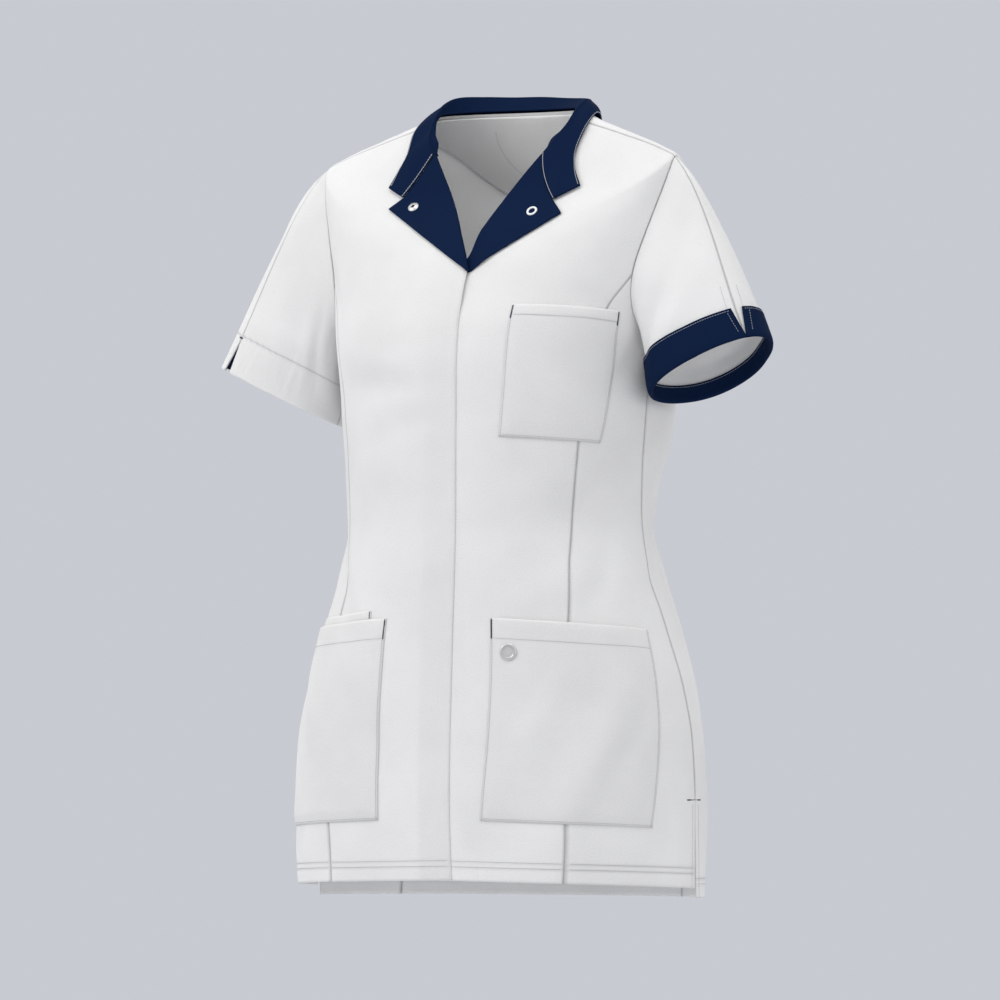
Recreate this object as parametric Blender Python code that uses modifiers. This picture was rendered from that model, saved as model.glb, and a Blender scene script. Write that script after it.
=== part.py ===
"""A short-sleeved work tunic, filled out as when worn, with no wearer.

Frame: +Z up, the front faces -Y and +X is the wearer's left. The origin lies midway
between the shoulders, level with the side points of the neck. Tables and sizes are
in centimetres unless a name says otherwise; CM turns them into metres.

The body is one surface of rings round the trunk. A place on it is an angle and a
level: the angle runs from 0 at the centre front over 90 at the side to 180 at the
centre back (minus on the wearer's right), and the level is the height of the ring
at the side. Every cut piece is a patch of that surface or of a sleeve.
"""
import math

import bmesh
import bpy
import numpy as np
from mathutils import Vector

CM = 0.01
MERGE = 0.00005           # points closer than this are one, in metres

# ---- cloth ----
CLOTH = 0.12              # wall of one layer with its turned-in edges
FACING_CLOTH = 0.10       # wall of the facings
SEAM = 0.018              # each piece stops this far short of a seam
RIDGE_SEAM = 0.05         # and this far where two pieces meet over a ridge
LAYER = 0.17              # from the middle of one layer to the middle of the next

# ---- rings of the body ----
RING_COLUMNS = (
    "level", "half_width", "front_y", "back_y", "side_y", "front_z", "back_z", "square", "drop",
)
RINGS = (
    (-78.0, 21.3, -14.2, 10.8, 0.0, -78.0, -78.0, 2.3, 2.00),   # below the hem
    (-68.0, 21.3, -14.7, 11.5, 0.0, -68.0, -68.0, 2.3, 2.00),   # top of the side slits
    (-62.0, 21.0, -14.6, 11.9, 0.0, -62.0, -62.0, 2.3, 2.00),
    (-57.0, 20.1, -14.4, 12.7, 0.0, -57.0, -57.0, 2.3, 2.00),   # seat
    (-51.0, 18.2, -14.1, 13.4, 0.0, -51.0, -51.0, 2.3, 2.00),   # mouth of the hip pockets
    (-46.0, 16.6, -13.8, 12.6, 0.0, -46.0, -46.0, 2.3, 2.00),
    (-40.5, 15.6, -13.6, 10.4, 0.3, -40.5, -40.5, 2.3, 2.00),   # waist
    (-36.0, 16.0, -13.5, 11.0, 1.0, -36.0, -36.0, 2.3, 2.00),
    (-31.0, 16.7, -13.5, 13.0, 2.0, -31.0, -31.0, 2.3, 2.00),
    (-26.0, 17.2, -13.5, 13.2, 2.0, -26.0, -26.0, 2.3, 2.00),   # bust
    (-22.0, 17.4, -13.2, 12.8, 1.2, -22.0, -22.0, 2.3, 2.00),   # bottom of the armholes
    (-16.0, 17.9, -12.2, 12.6, 0.5, -18.4, -17.0, 2.2, 1.80),
    (-10.0, 18.9, -10.7, 12.3, 0.0, -15.0, -13.0, 2.1, 1.60),
    (-4.2, 19.6, -8.6, 11.3, -0.4, -12.0, -9.5, 2.0, 1.30),     # tips of the shoulders
    (-3.3, 18.1, -7.5, 10.9, -0.2, -10.7, -7.6, 2.0, 1.28),
    (-1.5, 13.7, -5.6, 9.4, 0.3, -8.2, -3.8, 2.0, 1.25),
    (0.8, 7.6, -3.8, 7.2, 1.0, -5.0, 1.5, 2.0, 1.25),           # neckline
)

TIP_LEVEL = -4.2          # level of the shoulder tips
BACK_FLAT = 0.45          # how much flatter than the front the back's neckline runs
NECK_RAISE = 0.32         # and how much higher it stands

# ---- soft folds of the body: a bump (+) or hollow (-) round a short line ----
# columns: angle, level, half_length, half_width, slope, depth
FOLDS = (
    (58.0, -38.5, 5.0, 3.6, 70.0, -0.55),     # hollow at the left waist
    (40.0, -47.0, 6.0, 1.8, 20.0, 0.20),
    (-48.0, -46.0, 6.5, 1.5, -50.0, -0.40),   # slanting hollow at the right waist
    (-30.0, -49.0, 6.0, 1.6, -48.0, 0.22),
    (-24.0, -27.0, 7.5, 1.7, 4.0, -0.22),     # shade under the bust on the right
    (-60.0, -58.0, 8.0, 1.5, -65.0, -0.30),   # fold across the right hip pocket
    (-46.0, -60.0, 9.0, 1.6, -62.0, 0.25),
    (-38.0, -73.0, 4.0, 1.3, 85.0, -0.25),    # waves above the front hem
    (-62.0, -72.5, 4.5, 1.4, 80.0, 0.25),
    (52.0, -60.0, 9.0, 1.8, 62.0, 0.20),
    (34.0, -64.0, 8.0, 1.8, 66.0, -0.18),
    (150.0, -40.5, 6.5, 1.8, 12.0, -0.45),    # folds that cross the back's waist
    (-146.0, -38.0, 7.0, 1.7, -14.0, -0.40),
    (165.0, -45.0, 6.0, 1.6, 22.0, 0.30),
    (-160.0, -44.0, 6.5, 1.7, -20.0, 0.28),
    (118.0, -27.0, 5.0, 1.6, -58.0, -0.35),   # drags from the backs of the armholes
    (-119.0, -26.0, 5.5, 1.6, 55.0, -0.32),
)
FOLD_RADIUS = 16.0        # a degree round the body counts as this radius gives it

# ---- seams of the body ----
FACING_DEPTH = 0.30       # how far it hangs inside the back
FACING_TOP = 0.5          # the back neck's facing ends just under the collar's seam
FACING_START = 93.0       # angle at which it begins
# columns: angle, level of its lower edge
FACING_EDGE = ((92.0, -0.6), (112.0, -0.8), (135.0, -1.3), (161.5, -2.8), (180.0, -4.1))
HEM_FRONT = -75.75
HEM_RUN = 0.3             # the front hem drops this much from the centre to the long seam
HEM_SIDE = -76.6
HEM_BACK = -77.6
SLIT_TOP = -68.0
SLIT_SPREAD = 1.1         # degrees that each side of a slit stands off at the hem
ARMPIT = -22.0
OVERLAP = 1.8             # each front runs this far past the centre line
# columns: level, distance from the centre
FRONT_SEAM = (
    (-78.0, 12.9), (-70.6, 13.3), (-50.4, 12.9), (-44.3, 12.5), (-32.5, 13.0),
    (-22.7, 14.5), (-19.1, 15.3),
)
# columns: level, distance from the centre
BACK_SEAM = (
    (-78.0, 16.0), (-68.0, 15.6), (-57.0, 14.8), (-46.0, 13.2), (-38.5, 12.9),
    (-32.0, 14.0), (-22.0, 15.8),
)
# columns: level, angle
SIDE_SEAM = (
    (-78.0, 91.0), (-50.0, 90.0), (-42.0, 89.0), (-37.0, 84.0), (-31.0, 78.0), (-26.0, 77.5),
    (ARMPIT, 81.0),
)
# columns: level, angle
SHOULDER_SEAM = ((-4.2, 87.0), (-2.2, 85.0), (-0.5, 82.0), (0.6, 79.0))

# ---- armhole: an egg in angle and level, turned from the shoulder tip over the front ----
ARMHOLE_FRONT = 15.5
ARMHOLE_BACK = 18.0
ARMHOLE_SKEW = 0.33
JOIN_FRONT = 107.0        # turns where the long seams leave the armhole
JOIN_BACK = 258.0

# ---- fronts, as distance from the centre and height ----
# A row for each side: foot and top of the roll line, where the top is the collar's seam,
# then the notch, the corners of lapel and collar, and the snap. The right foot lies past
# the centre, and the left one is where the roll line runs under the right front.
# columns: foot, gorge, notch, lapel_corner, collar_corner, snap
LAPELS = {
    "right": ((-1.1, -14.3), (6.35, -3.6), (8.4, -8.0), (9.6, -9.1), (10.4, -6.95), (6.8, -9.0)),
    "left": ((1.5, -13.9), (6.05, -3.9), (8.8, -8.75), (10.3, -10.15), (11.3, -7.4), (6.95, -9.9)),
}
LAPEL_START_LEFT = (1.56, -13.72)   # the left facing begins a little above the break
TIP_OF_V = 15.8                # the outer edges of the lapels end this far down
LAPEL_TIPS = {"right": (-1.9, -15.8), "left": (2.2, -15.65)}
LEFT_BREAK = 2.5               # the left front turns towards its roll line this much lower
ROLL_HOLLOW = {"right": 0.2, "left": 0.55}
UNDER_DEPTH = 0.42             # the left front runs this far behind the right one
UNDER_EDGE = 3.4               # it starts to sink this far from the centre
UNDER_RAMP = 2.4               # and is down after this distance
UNDER_START = -11.5            # height at which it starts to sink
UNDER_FALL = 2.5               # and it is down after this height
LAPEL_LIFT = 0.25

# ---- pockets: two small ones by corners as distance from the centre and height ----
CHEST_POCKET = ((7.2, -19.2), (16.0, -19.8), (14.4, -32.8), (6.2, -32.2))
INNER_POCKET = ((7.7, -49.25), (16.2, -50.1), (16.6, -54.5), (7.6, -53.6))
# ---- and the wide hip pockets by corners as angle and level ----
HIP_POCKET = ((18.4, -50.0), (75.0, -51.2), (64.8, -70.6), (13.6, -69.9))
POCKET_LIFT = 0.20
INNER_LIFT = 0.26
OUTER_LIFT = 0.47              # the right hip pocket lies over the inner one
DISC_AT = (7.7, -53.4)

# ---- sleeves: hem rings, corners as distance from the centre and height ----
# The top seam runs forward by seam_forward degrees, and the ring wavers by a share of its size.
SLEEVE_COLUMNS = ("outer_x", "outer_z", "inner_x", "inner_z", "centre_y", "half_depth", "front_rise",
                  "seam_forward", "waver")
SLEEVE_HEMS = {
    "right": (31.2, -24.4, 18.7, -30.2, -0.6, 5.8, 0.9, 48.0, 0.02),
    "left": (29.8, -22.6, 18.0, -28.5, -1.0, 5.8, 0.9, 33.0, 0.05),
}
WAVER_TURN = 260.0        # one of the three places where the ring stands out
SLEEVE_START = 0.17       # a sleeve begins this far outside the armhole's edge
LEAVE_SIDE = 0.32         # how far a sleeve leans out from the body as it leaves the armhole
LEAVE_CROWN = 0.40        # and how much more over the shoulder
LEAVE_LENGTH = 0.8        # strength of the curve where it leaves, as a share of its length
ARRIVE_LENGTH = 0.9       # and where it meets the hem
NEAR_HEM = 0.95           # share along the sleeve from which heights above the hem are measured
CUFF_DEPTH = 2.9          # depth of the left sleeve's turned-up facing
SLIT_DEPTH = 3.4          # and of the slit in the right sleeve's hem
FACING_IN = 1.5           # facing left inside above the fold
# columns: height above the hem, distance out from the sleeve
CUFF_PROFILE = (
    (FACING_IN, -0.17), (0.15, -0.17), (-0.12, -0.13), (-0.22, 0.02), (-0.12, 0.20),
    (0.25, 0.28), (CUFF_DEPTH * 0.5, 0.32), (CUFF_DEPTH, 0.36),
)
FACING_HEIGHTS = (0.12, 1.7, SLIT_DEPTH, SLIT_DEPTH + FACING_IN)   # rows of the right hem's facing
SLIT_HALF = 0.6           # half the slit's width at its open end

# ---- collar: places round the neck for one side ----
COLLAR_FOOT = 0.70             # level of the stand's seam, just clear of the neckline
COLLAR_LIFT = 0.36
COLLAR_WALL = 0.12
COLLAR_TILT = 0.05             # the fold rises this much to each centimetre towards the right
TILT_FADE = 90.0               # and not at all in front of this angle
GORGE_GAP = (0.05, 0.05)
FOLD_ROUND = (0.15, 0.19, -0.20)   # out to the crest, on to the leaf's start, and its drop
STAND_BELOW = 0.12             # the stand ends this far below the fold
NECK_CENTRE = 2.0              # the folds face away from this y
UNDER_COLLAR = (0.1, -0.16)    # the collar's front ends start this far up and inside the gorge
# columns: x, y, z of the three points that round the roll there
COLLAR_HOOK = ((0.20, 0.10, 0.10), (0.02, 0.04, 0.05), (-0.12, -0.06, 0.02))
# columns: angle, fold_x, fold_y, fold_z, edge_angle, edge_level, bulge
COLLAR = (
    (180.0, 0.0, 8.3, 2.95, 180.0, -0.50, 0.45),
    (158.0, 3.0, 8.0, 2.85, 160.0, -0.48, 0.45),
    (135.0, 5.6, 6.6, 2.75, 137.0, -0.30, 0.50),
    (112.0, 7.3, 4.4, 2.50, 113.0, 0.05, 0.50),
    (95.0, 7.8, 2.4, 2.05, 95.0, 0.08, 0.50),
    (80.0, 7.8, 0.6, 0.95, 75.0, -0.12, 0.36),
    (64.0, 7.6, -1.0, -0.70, 57.0, -0.62, 0.25),
    (54.0, 7.15, -2.25, -1.95, 48.5, -1.35, 0.20),
)

# ---- snaps and disc: profiles of radius and height, spun about their axis ----
SOCKET = (
    (0.0, 0.05), (0.14, 0.05), (0.17, 0.13), (0.24, 0.16), (0.33, 0.15), (0.52, 0.06), (0.55, 0.0),
    (0.0, 0.0),
)
RING = (
    (0.33, 0.0), (0.33, 0.02), (0.36, 0.09), (0.44, 0.12), (0.52, 0.09), (0.55, 0.02), (0.55, 0.0),
)
DISC = ((0.0, 0.09), (0.55, 0.09), (0.62, 0.12), (0.78, 0.12), (0.85, 0.06), (0.85, 0.0), (0.0, 0.0))
SPIN_STEPS = 20
PART_GAP = 0.08           # from the middle of the lapel's cloth to the foot of a snap
DISC_GAP = 0.11           # and from the middle of the pocket's cloth to the disc

# ---- finishes: colour, and roughness with metallic ----
WHITE = (0.86, 0.87, 0.88, 1.0)
NAVY = (0.02, 0.045, 0.12, 1.0)
STEEL = (0.62, 0.63, 0.65, 1.0)
PLASTIC = (0.9, 0.9, 0.9, 1.0)
WOVEN = (0.85, 0.0)
METAL = (0.3, 1.0)
MOULDED = (0.4, 0.0)


# ---------------------------------------------------------------- curves and the body

def smooth(table, column, at):
    """A curve through one column of a table, by slopes that never overshoot."""
    data = np.asarray(table, float)
    keys = data[:, 0]
    values = data[:, column]
    at = np.asarray(at, float)
    step = np.diff(keys)
    slope = np.diff(values) / step
    tangent = np.zeros_like(values)
    before, after = slope[:-1], slope[1:]
    heavy = 2.0 * step[1:] + step[:-1]
    light = step[1:] + 2.0 * step[:-1]
    rising = before * after > 0.0
    safe_before = np.where(rising, before, 1.0)
    safe_after = np.where(rising, after, 1.0)
    mean = (heavy + light) / (heavy / safe_before + light / safe_after)
    tangent[1:-1] = np.where(rising, mean, 0.0)
    tangent[0], tangent[-1] = slope[0], slope[-1]
    cell = np.clip(np.searchsorted(keys, at) - 1, 0, len(step) - 1)
    t = (at - keys[cell]) / step[cell]
    width = step[cell]
    start = (2 * t**3 - 3 * t**2 + 1) * values[cell] + (t**3 - 2 * t**2 + t) * width * tangent[cell]
    end = (3 * t**2 - 2 * t**3) * values[cell + 1] + (t**3 - t**2) * width * tangent[cell + 1]
    return start + end


def ring(column, level):
    return smooth(RINGS, RING_COLUMNS.index(column), level)


def bare_body(angle, level):
    """The body without folds: a rounded ring at each level, tilted above the armholes."""
    angle, level = np.broadcast_arrays(np.asarray(angle, float), np.asarray(level, float))
    turn = np.radians(angle)
    s, c = np.sin(turn), np.cos(turn)
    power = ring("square", level)
    reach = (np.abs(s) ** power + np.abs(c) ** power) ** (-1.0 / power)
    side_y = ring("side_y", level)
    far_y = np.where(c > 0.0, ring("front_y", level), ring("back_y", level)) - side_y
    far_z = np.where(c > 0.0, ring("front_z", level), ring("back_z", level)) - level
    x = ring("half_width", level) * s * reach
    y = side_y + far_y * np.abs(c) * reach
    rise = np.clip((level - TIP_LEVEL) / (RINGS[-1][0] - TIP_LEVEL), 0.0, 1.0)
    drop = ring("drop", level) * np.where(c < 0.0, 1.0 - BACK_FLAT * rise, 1.0)
    back = np.where(c < 0.0, 1.0 - (1.0 - np.abs(c)) ** 2, 0.0)
    z = level + far_z * np.abs(c) ** drop + rise * back * NECK_RAISE
    return np.stack([x, y, z], -1)


def outward(angle, level):
    """Unit normals of the body, pointing out of it."""
    round_step, up_step = 1.0, 0.1
    along = bare_body(angle + round_step, level) - bare_body(angle - round_step, level)
    rise = bare_body(angle, level + up_step) - bare_body(angle, level - up_step)
    normal = np.cross(along, rise)
    return normal / np.linalg.norm(normal, axis=-1, keepdims=True)


def fold_depth(angle, level):
    """Sum of the folds: each falls off as a bell along and across its line."""
    total = np.zeros(np.broadcast(angle, level).shape)
    for at, height, half_length, half_width, slope, depth in FOLDS:
        du = np.radians(np.mod(angle - at + 180.0, 360.0) - 180.0) * FOLD_RADIUS
        dv = level - height
        tilt = math.radians(slope)
        along = du * math.cos(tilt) + dv * math.sin(tilt)
        across = dv * math.cos(tilt) - du * math.sin(tilt)
        total = total + depth * np.exp(-(along / half_length) ** 2 - (across / half_width) ** 2)
    return total


def body(angle, level, lift=0.0):
    """Points on the worn body, moved out by lift."""
    angle, level = np.broadcast_arrays(np.asarray(angle, float), np.asarray(level, float))
    out = fold_depth(angle, level) + lift
    return bare_body(angle, level) + outward(angle, level) * out[..., None]


def angle_at(from_centre, level, back=False):
    """The angle at which a ring is this far from the centre line."""
    power = ring("square", level)
    part = np.clip(np.abs(from_centre) / ring("half_width", level), 0.0, 1.0)
    other = (1.0 - part**power) ** (1.0 / power)
    angle = np.degrees(np.arctan2(part, other)) * np.sign(from_centre)
    return 180.0 - angle if back else angle


def on_front(x, z):
    """Angle and level of the point of the front at a distance from the centre and a height."""
    x, z = np.broadcast_arrays(np.asarray(x, float), np.asarray(z, float))
    low = np.full(x.shape, -78.0)
    high = np.full(x.shape, RINGS[-1][0])
    for _ in range(30):
        middle = (low + high) / 2.0
        height = bare_body(angle_at(x, middle), middle)[..., 2]
        beyond = (np.abs(x) > ring("half_width", middle)) & (middle > TIP_LEVEL)
        too_high = (height > z) | beyond
        high = np.where(too_high, middle, high)
        low = np.where(too_high, low, middle)
    level = (low + high) / 2.0
    return np.stack([angle_at(x, level), level], -1)


def armhole(turn):
    """Angle and level on the armhole; the turn starts at the shoulder tip and goes over the front."""
    turn = np.radians(np.asarray(turn, float))
    rise = np.cos(turn)
    level = (TIP_LEVEL + ARMPIT) / 2.0 + (TIP_LEVEL - ARMPIT) / 2.0 * rise
    share = (1.0 + rise) / 2.0
    centre = SIDE_SEAM[-1][1] * (1.0 - share) + SHOULDER_SEAM[0][1] * share
    half = np.where(np.sin(turn) > 0.0, ARMHOLE_FRONT, ARMHOLE_BACK)
    angle = centre - half * np.sin(turn) * (1.0 - ARMHOLE_SKEW * rise)
    return np.stack([angle, level], -1)


# ---------------------------------------------------------------- seam lines

SLIT_LEVELS = 3
BODY_LEVELS = 15
UNDER_JOIN = 4            # rows from the armpit up to the long seams' ends
OVER_JOIN = 7             # rows from there to the shoulder tip
CHEST_ROWS = 2            # rows of the fronts' edges from the armpit's level to the break
ROLL_ROWS = 5             # along the roll line
NECK_ROWS = 3             # and along the neckline
SHOULDER_ROWS = 4         # rows of the back along the shoulder seam


def level_rows(hem):
    slit = np.linspace(hem, SLIT_TOP, SLIT_LEVELS + 1)
    trunk = np.linspace(SLIT_TOP, ARMPIT, BODY_LEVELS + 1)
    return np.concatenate([slit, trunk[1:]])


def seam_by_distance(table, join, back, hem):
    """A long seam: up the body through its table, then on to where it meets the armhole."""
    levels = level_rows(hem)
    end = armhole(join)
    key = np.asarray(table, float)
    edge = bare_body(end[0], end[1])[0]
    full = np.vstack([key, [end[1], edge]])
    upper = np.linspace(ARMPIT, end[1], UNDER_JOIN + 1)[1:]
    every = np.concatenate([levels, upper])
    distance = smooth(full, 1, every)
    line = np.stack([angle_at(distance, every, back), every], -1)
    line[-1] = end
    return line


def side_line(hem, spread):
    levels = level_rows(hem)
    below = np.clip((SLIT_TOP - levels) / (SLIT_TOP - HEM_SIDE), 0.0, None)
    return np.stack([smooth(SIDE_SEAM, 1, levels) + spread * below, levels], -1)


def armhole_line(start, end, count):
    return armhole(np.linspace(start, end, count + 1))


def straight(start, end, count):
    share = np.linspace(0.0, 1.0, count + 1)[:, None]
    return np.asarray(start, float) * (1.0 - share) + np.asarray(end, float) * share


def shoulder_line(count):
    """The shoulder seam from the neckline out to the tip."""
    levels = np.linspace(SHOULDER_SEAM[-1][0], TIP_LEVEL, count + 1)
    return np.stack([smooth(SHOULDER_SEAM, 1, levels), levels], -1)


def roll_line(name, foot, count):
    """Distance and height on the roll line, from its foot up to the collar's seam, a little hollow."""
    line = straight(foot, LAPELS[name][1], count)
    share = np.linspace(0.0, 1.0, count + 1)
    line[:, 0] -= ROLL_HOLLOW[name] * np.sin(np.pi * share)
    return line


def patch(left, right, bottom, top):
    """A four-sided piece: every inner point blends its two side lines and its two end lines."""
    rows, columns = len(left), len(bottom)
    v = np.linspace(0.0, 1.0, rows)[:, None, None]
    u = np.linspace(0.0, 1.0, columns)[None, :, None]
    across = left[:, None] * (1.0 - u) + right[:, None] * u
    up = bottom[None] * (1.0 - v) + top[None] * v
    corners = (bottom[0] * (1 - u) + bottom[-1] * u) * (1 - v) + (top[0] * (1 - u) + top[-1] * u) * v
    return across + up - corners


# ---------------------------------------------------------------- solids

def clear_scene():
    for thing in list(bpy.data.objects):
        bpy.data.objects.remove(thing, do_unlink=True)


def material(name, colour, roughness, metallic):
    finish = bpy.data.materials.new(name)
    finish.use_nodes = True
    shader = finish.node_tree.nodes["Principled BSDF"]
    shader.inputs["Base Color"].default_value = colour
    shader.inputs["Roughness"].default_value = roughness
    shader.inputs["Metallic"].default_value = metallic
    finish.diffuse_color = colour
    return finish


def add_object(name, mesh, colour, roughness, metallic):
    piece = bpy.data.objects.new(name, mesh)
    bpy.data.collections["work_tunic"].objects.link(piece)
    mesh.materials.append(material(name + "_finish", colour, roughness, metallic))
    return piece


def inset(points, amount, edges="lrbt"):
    """Draw the edges of a grid of points in along its own lines."""
    moved = points.copy()

    def pull(edge, inner):
        step = inner - edge
        length = np.linalg.norm(step, axis=-1, keepdims=True)
        return edge + step * np.minimum(amount / np.maximum(length, 1e-6), 0.5)

    if "l" in edges:
        moved[:, 0] = pull(points[:, 0], points[:, 1])
    if "r" in edges:
        moved[:, -1] = pull(points[:, -1], points[:, -2])
    if "b" in edges:
        moved[0] = pull(moved[0], moved[1])
    if "t" in edges:
        moved[-1] = pull(moved[-1], moved[-2])
    return moved


def cloth_piece(name, points, colour, wall=CLOTH):
    """A sheet through a grid of points (rows x columns), thickened to a wall about its middle."""
    rows, columns = points.shape[:2]
    mesh = bpy.data.meshes.new(name)
    build = bmesh.new()
    verts = [build.verts.new(tuple(p * CM)) for p in points.reshape(-1, 3)]
    for row in range(rows - 1):
        for column in range(columns - 1):
            a = row * columns + column
            build.faces.new((verts[a], verts[a + 1], verts[a + 1 + columns], verts[a + columns]))
    bmesh.ops.remove_doubles(build, verts=build.verts, dist=MERGE)
    bmesh.ops.triangulate(build, faces=build.faces)
    build.to_mesh(mesh)
    build.free()
    mesh.shade_smooth()
    piece = add_object(name, mesh, colour, *WOVEN)
    shell = piece.modifiers.new("wall", "SOLIDIFY")
    shell.thickness = wall * CM
    shell.offset = 0.0
    return piece


# ---------------------------------------------------------------- fronts and backs

FRONT_COLUMNS = 6
SIDE_COLUMNS = 5
BACK_COLUMNS = 16
FACING_COLUMNS = 8
FACING_ROWS = 4


def front_edge(name):
    """Inner edge of a front: past the centre line up to the break, the roll line, the neckline."""
    levels = level_rows(HEM_FRONT)
    foot = LAPELS[name][0]
    trunk = np.stack([angle_at(np.full(len(levels), -OVERLAP), levels), levels], -1)
    start = (-OVERLAP, -TIP_OF_V) if name == "right" else (-OVERLAP, -TIP_OF_V - LEFT_BREAK)
    chest = straight(trunk[-1], on_front(*start), CHEST_ROWS)[1:]
    roll = roll_line(name, foot, ROLL_ROWS)
    roll = on_front(roll[:, 0], roll[:, 1])
    neck = straight(roll[-1], SHOULDER_SEAM[-1][::-1], NECK_ROWS)[1:]
    return np.concatenate([trunk, chest, roll, neck])


def make_front(name, side):
    """A front: from its free edge to the long seam and the armhole, up to the shoulder."""
    left = front_edge(name)
    seam = seam_by_distance(FRONT_SEAM, JOIN_FRONT, False, HEM_FRONT - HEM_RUN)
    scye = armhole_line(JOIN_FRONT, 0.0, len(left) - len(seam))
    right = np.concatenate([seam, scye[1:]])
    bottom = straight(left[0], right[0], FRONT_COLUMNS)
    top = shoulder_line(FRONT_COLUMNS)
    grid = patch(left, right, bottom, top)
    lift = np.zeros(grid.shape[:2])
    if name == "left":
        bare = bare_body(grid[..., 0], grid[..., 1])
        lift = dip(bare[..., 0], bare[..., 2])
    points = body(grid[..., 0] * side, grid[..., 1], lift)
    points = inset(inset(points, SEAM, "lrb"), RIDGE_SEAM, "t")
    return cloth_piece("front_" + name, points, WHITE)


def make_side(name, side, seam, join, side_seam):
    """A side piece between a long seam and the side seam, up to the armhole."""
    scye = armhole_line(180.0, join, UNDER_JOIN)
    outer = np.concatenate([side_seam, scye[1:]])
    bottom = straight(seam[0], outer[0], SIDE_COLUMNS)
    top = straight(seam[-1], outer[-1], SIDE_COLUMNS)
    grid = patch(seam, outer, bottom, top)
    points = body(grid[..., 0] * side, grid[..., 1])
    return cloth_piece(name, inset(points, SEAM), WHITE)


def make_back():
    """The back between its long seams, up to the shoulders and the neckline."""
    seam = seam_by_distance(BACK_SEAM, JOIN_BACK, True, HEM_BACK)
    scye = armhole_line(JOIN_BACK, 360.0, OVER_JOIN)
    shoulder = shoulder_line(SHOULDER_ROWS)[::-1]
    right = np.concatenate([seam, scye[1:], shoulder[1:]])
    left = right.copy()
    left[:, 0] = 360.0 - right[:, 0]
    bottom = straight(left[0], right[0], BACK_COLUMNS)
    top = straight(left[-1], right[-1], BACK_COLUMNS)
    grid = patch(left, right, bottom, top)
    points = body(grid[..., 0], grid[..., 1])
    points = inset(inset(points, SEAM, "lrb"), RIDGE_SEAM, "t")
    return cloth_piece("back_centre", points, WHITE)


def make_neck_facing():
    """Facing inside the back neck: from the neckline down to a pointed lower edge."""
    angles = np.linspace(FACING_START, 180.0, FACING_COLUMNS + 1)
    edge = smooth(FACING_EDGE, 1, angles)
    edge = np.concatenate([edge, edge[-2::-1]])
    angles = np.concatenate([angles, 360.0 - angles[-2::-1]])
    share = np.linspace(0.0, 1.0, FACING_ROWS + 1)[:, None]
    levels = edge[None] * (1.0 - share) + FACING_TOP * share
    points = body(np.broadcast_to(angles, levels.shape), levels, -FACING_DEPTH)
    return cloth_piece("neck_facing_back", points, WHITE, FACING_CLOTH)


def make_body_pieces():
    make_front("right", -1.0)
    make_front("left", 1.0)
    for name, side in (("right", -1.0), ("left", 1.0)):
        seam = seam_by_distance(FRONT_SEAM, JOIN_FRONT, False, HEM_FRONT - HEM_RUN)
        make_side("front_side_" + name, side, seam, JOIN_FRONT, side_line(HEM_SIDE, -SLIT_SPREAD))
        seam = seam_by_distance(BACK_SEAM, JOIN_BACK, True, HEM_BACK)
        make_side("back_side_" + name, side, seam, JOIN_BACK, side_line(HEM_BACK, SLIT_SPREAD))
    make_back()
    make_neck_facing()


# ---------------------------------------------------------------- pockets

def on_body(corners):
    """Angles and levels of corners given as distance from the centre and height."""
    return [on_front(*corner) for corner in corners]


def pocket_points(corners, side, lift, size):
    """A patch pocket: straight sides between four corners on the body, moved out from it."""
    inner_top, outer_top, outer_foot, inner_foot = corners
    columns, rows = size
    grid = patch(straight(inner_foot, inner_top, rows), straight(outer_foot, outer_top, rows),
                 straight(inner_foot, outer_foot, columns), straight(inner_top, outer_top, columns))
    return body(grid[..., 0] * side, grid[..., 1], lift)


# columns: columns and rows of the pocket's grid
CHEST_GRID = (7, 8)
INNER_GRID = (7, 3)
HIP_GRID = (12, 10)


def make_pockets():
    chest, inner = on_body(CHEST_POCKET), on_body(INNER_POCKET)
    cloth_piece("chest_pocket", pocket_points(chest, 1.0, POCKET_LIFT, CHEST_GRID), WHITE)
    cloth_piece("hip_pocket_left", pocket_points(HIP_POCKET, 1.0, POCKET_LIFT, HIP_GRID), WHITE)
    cloth_piece("inner_pocket_right", pocket_points(inner, -1.0, INNER_LIFT, INNER_GRID), WHITE)
    cloth_piece("hip_pocket_right", pocket_points(HIP_POCKET, -1.0, OUTER_LIFT, HIP_GRID), WHITE)


# ---------------------------------------------------------------- sleeves

SLEEVE_ROWS = 8


def sleeve_turns():
    """Turns of the sleeve's columns, the same points as the armhole edges of the body."""
    over_front = len(front_edge("left")) - len(level_rows(HEM_FRONT)) - UNDER_JOIN
    front_top = np.linspace(0.0, JOIN_FRONT, over_front + 1)
    front_low = np.linspace(JOIN_FRONT, 180.0, UNDER_JOIN + 1)
    back_low = np.linspace(180.0, JOIN_BACK, UNDER_JOIN + 1)
    back_top = np.linspace(JOIN_BACK, 360.0, OVER_JOIN + 1)
    front = np.concatenate([front_top, front_low[1:]])
    back = np.concatenate([back_low, back_top[1:]])
    return front, back


def hem_ring(turn, size):
    """The sleeve's end: a rounded ring through its outer, front, inner and back points."""
    outer_x, outer_z, inner_x, inner_z, centre_y, half_depth, front_rise, _, waver = size
    turn = np.radians(np.asarray(turn, float))
    outer = np.array([(outer_x - inner_x) / 2.0, 0.0, (outer_z - inner_z) / 2.0])
    front = np.array([0.0, -half_depth, front_rise])
    centre = np.array([(outer_x + inner_x) / 2.0, centre_y, (outer_z + inner_z) / 2.0])
    swell = (1.0 + waver * np.cos(3.0 * (turn - math.radians(WAVER_TURN))))[..., None]
    return centre + (outer * np.cos(turn)[..., None] + front * np.sin(turn)[..., None]) * swell


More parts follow.
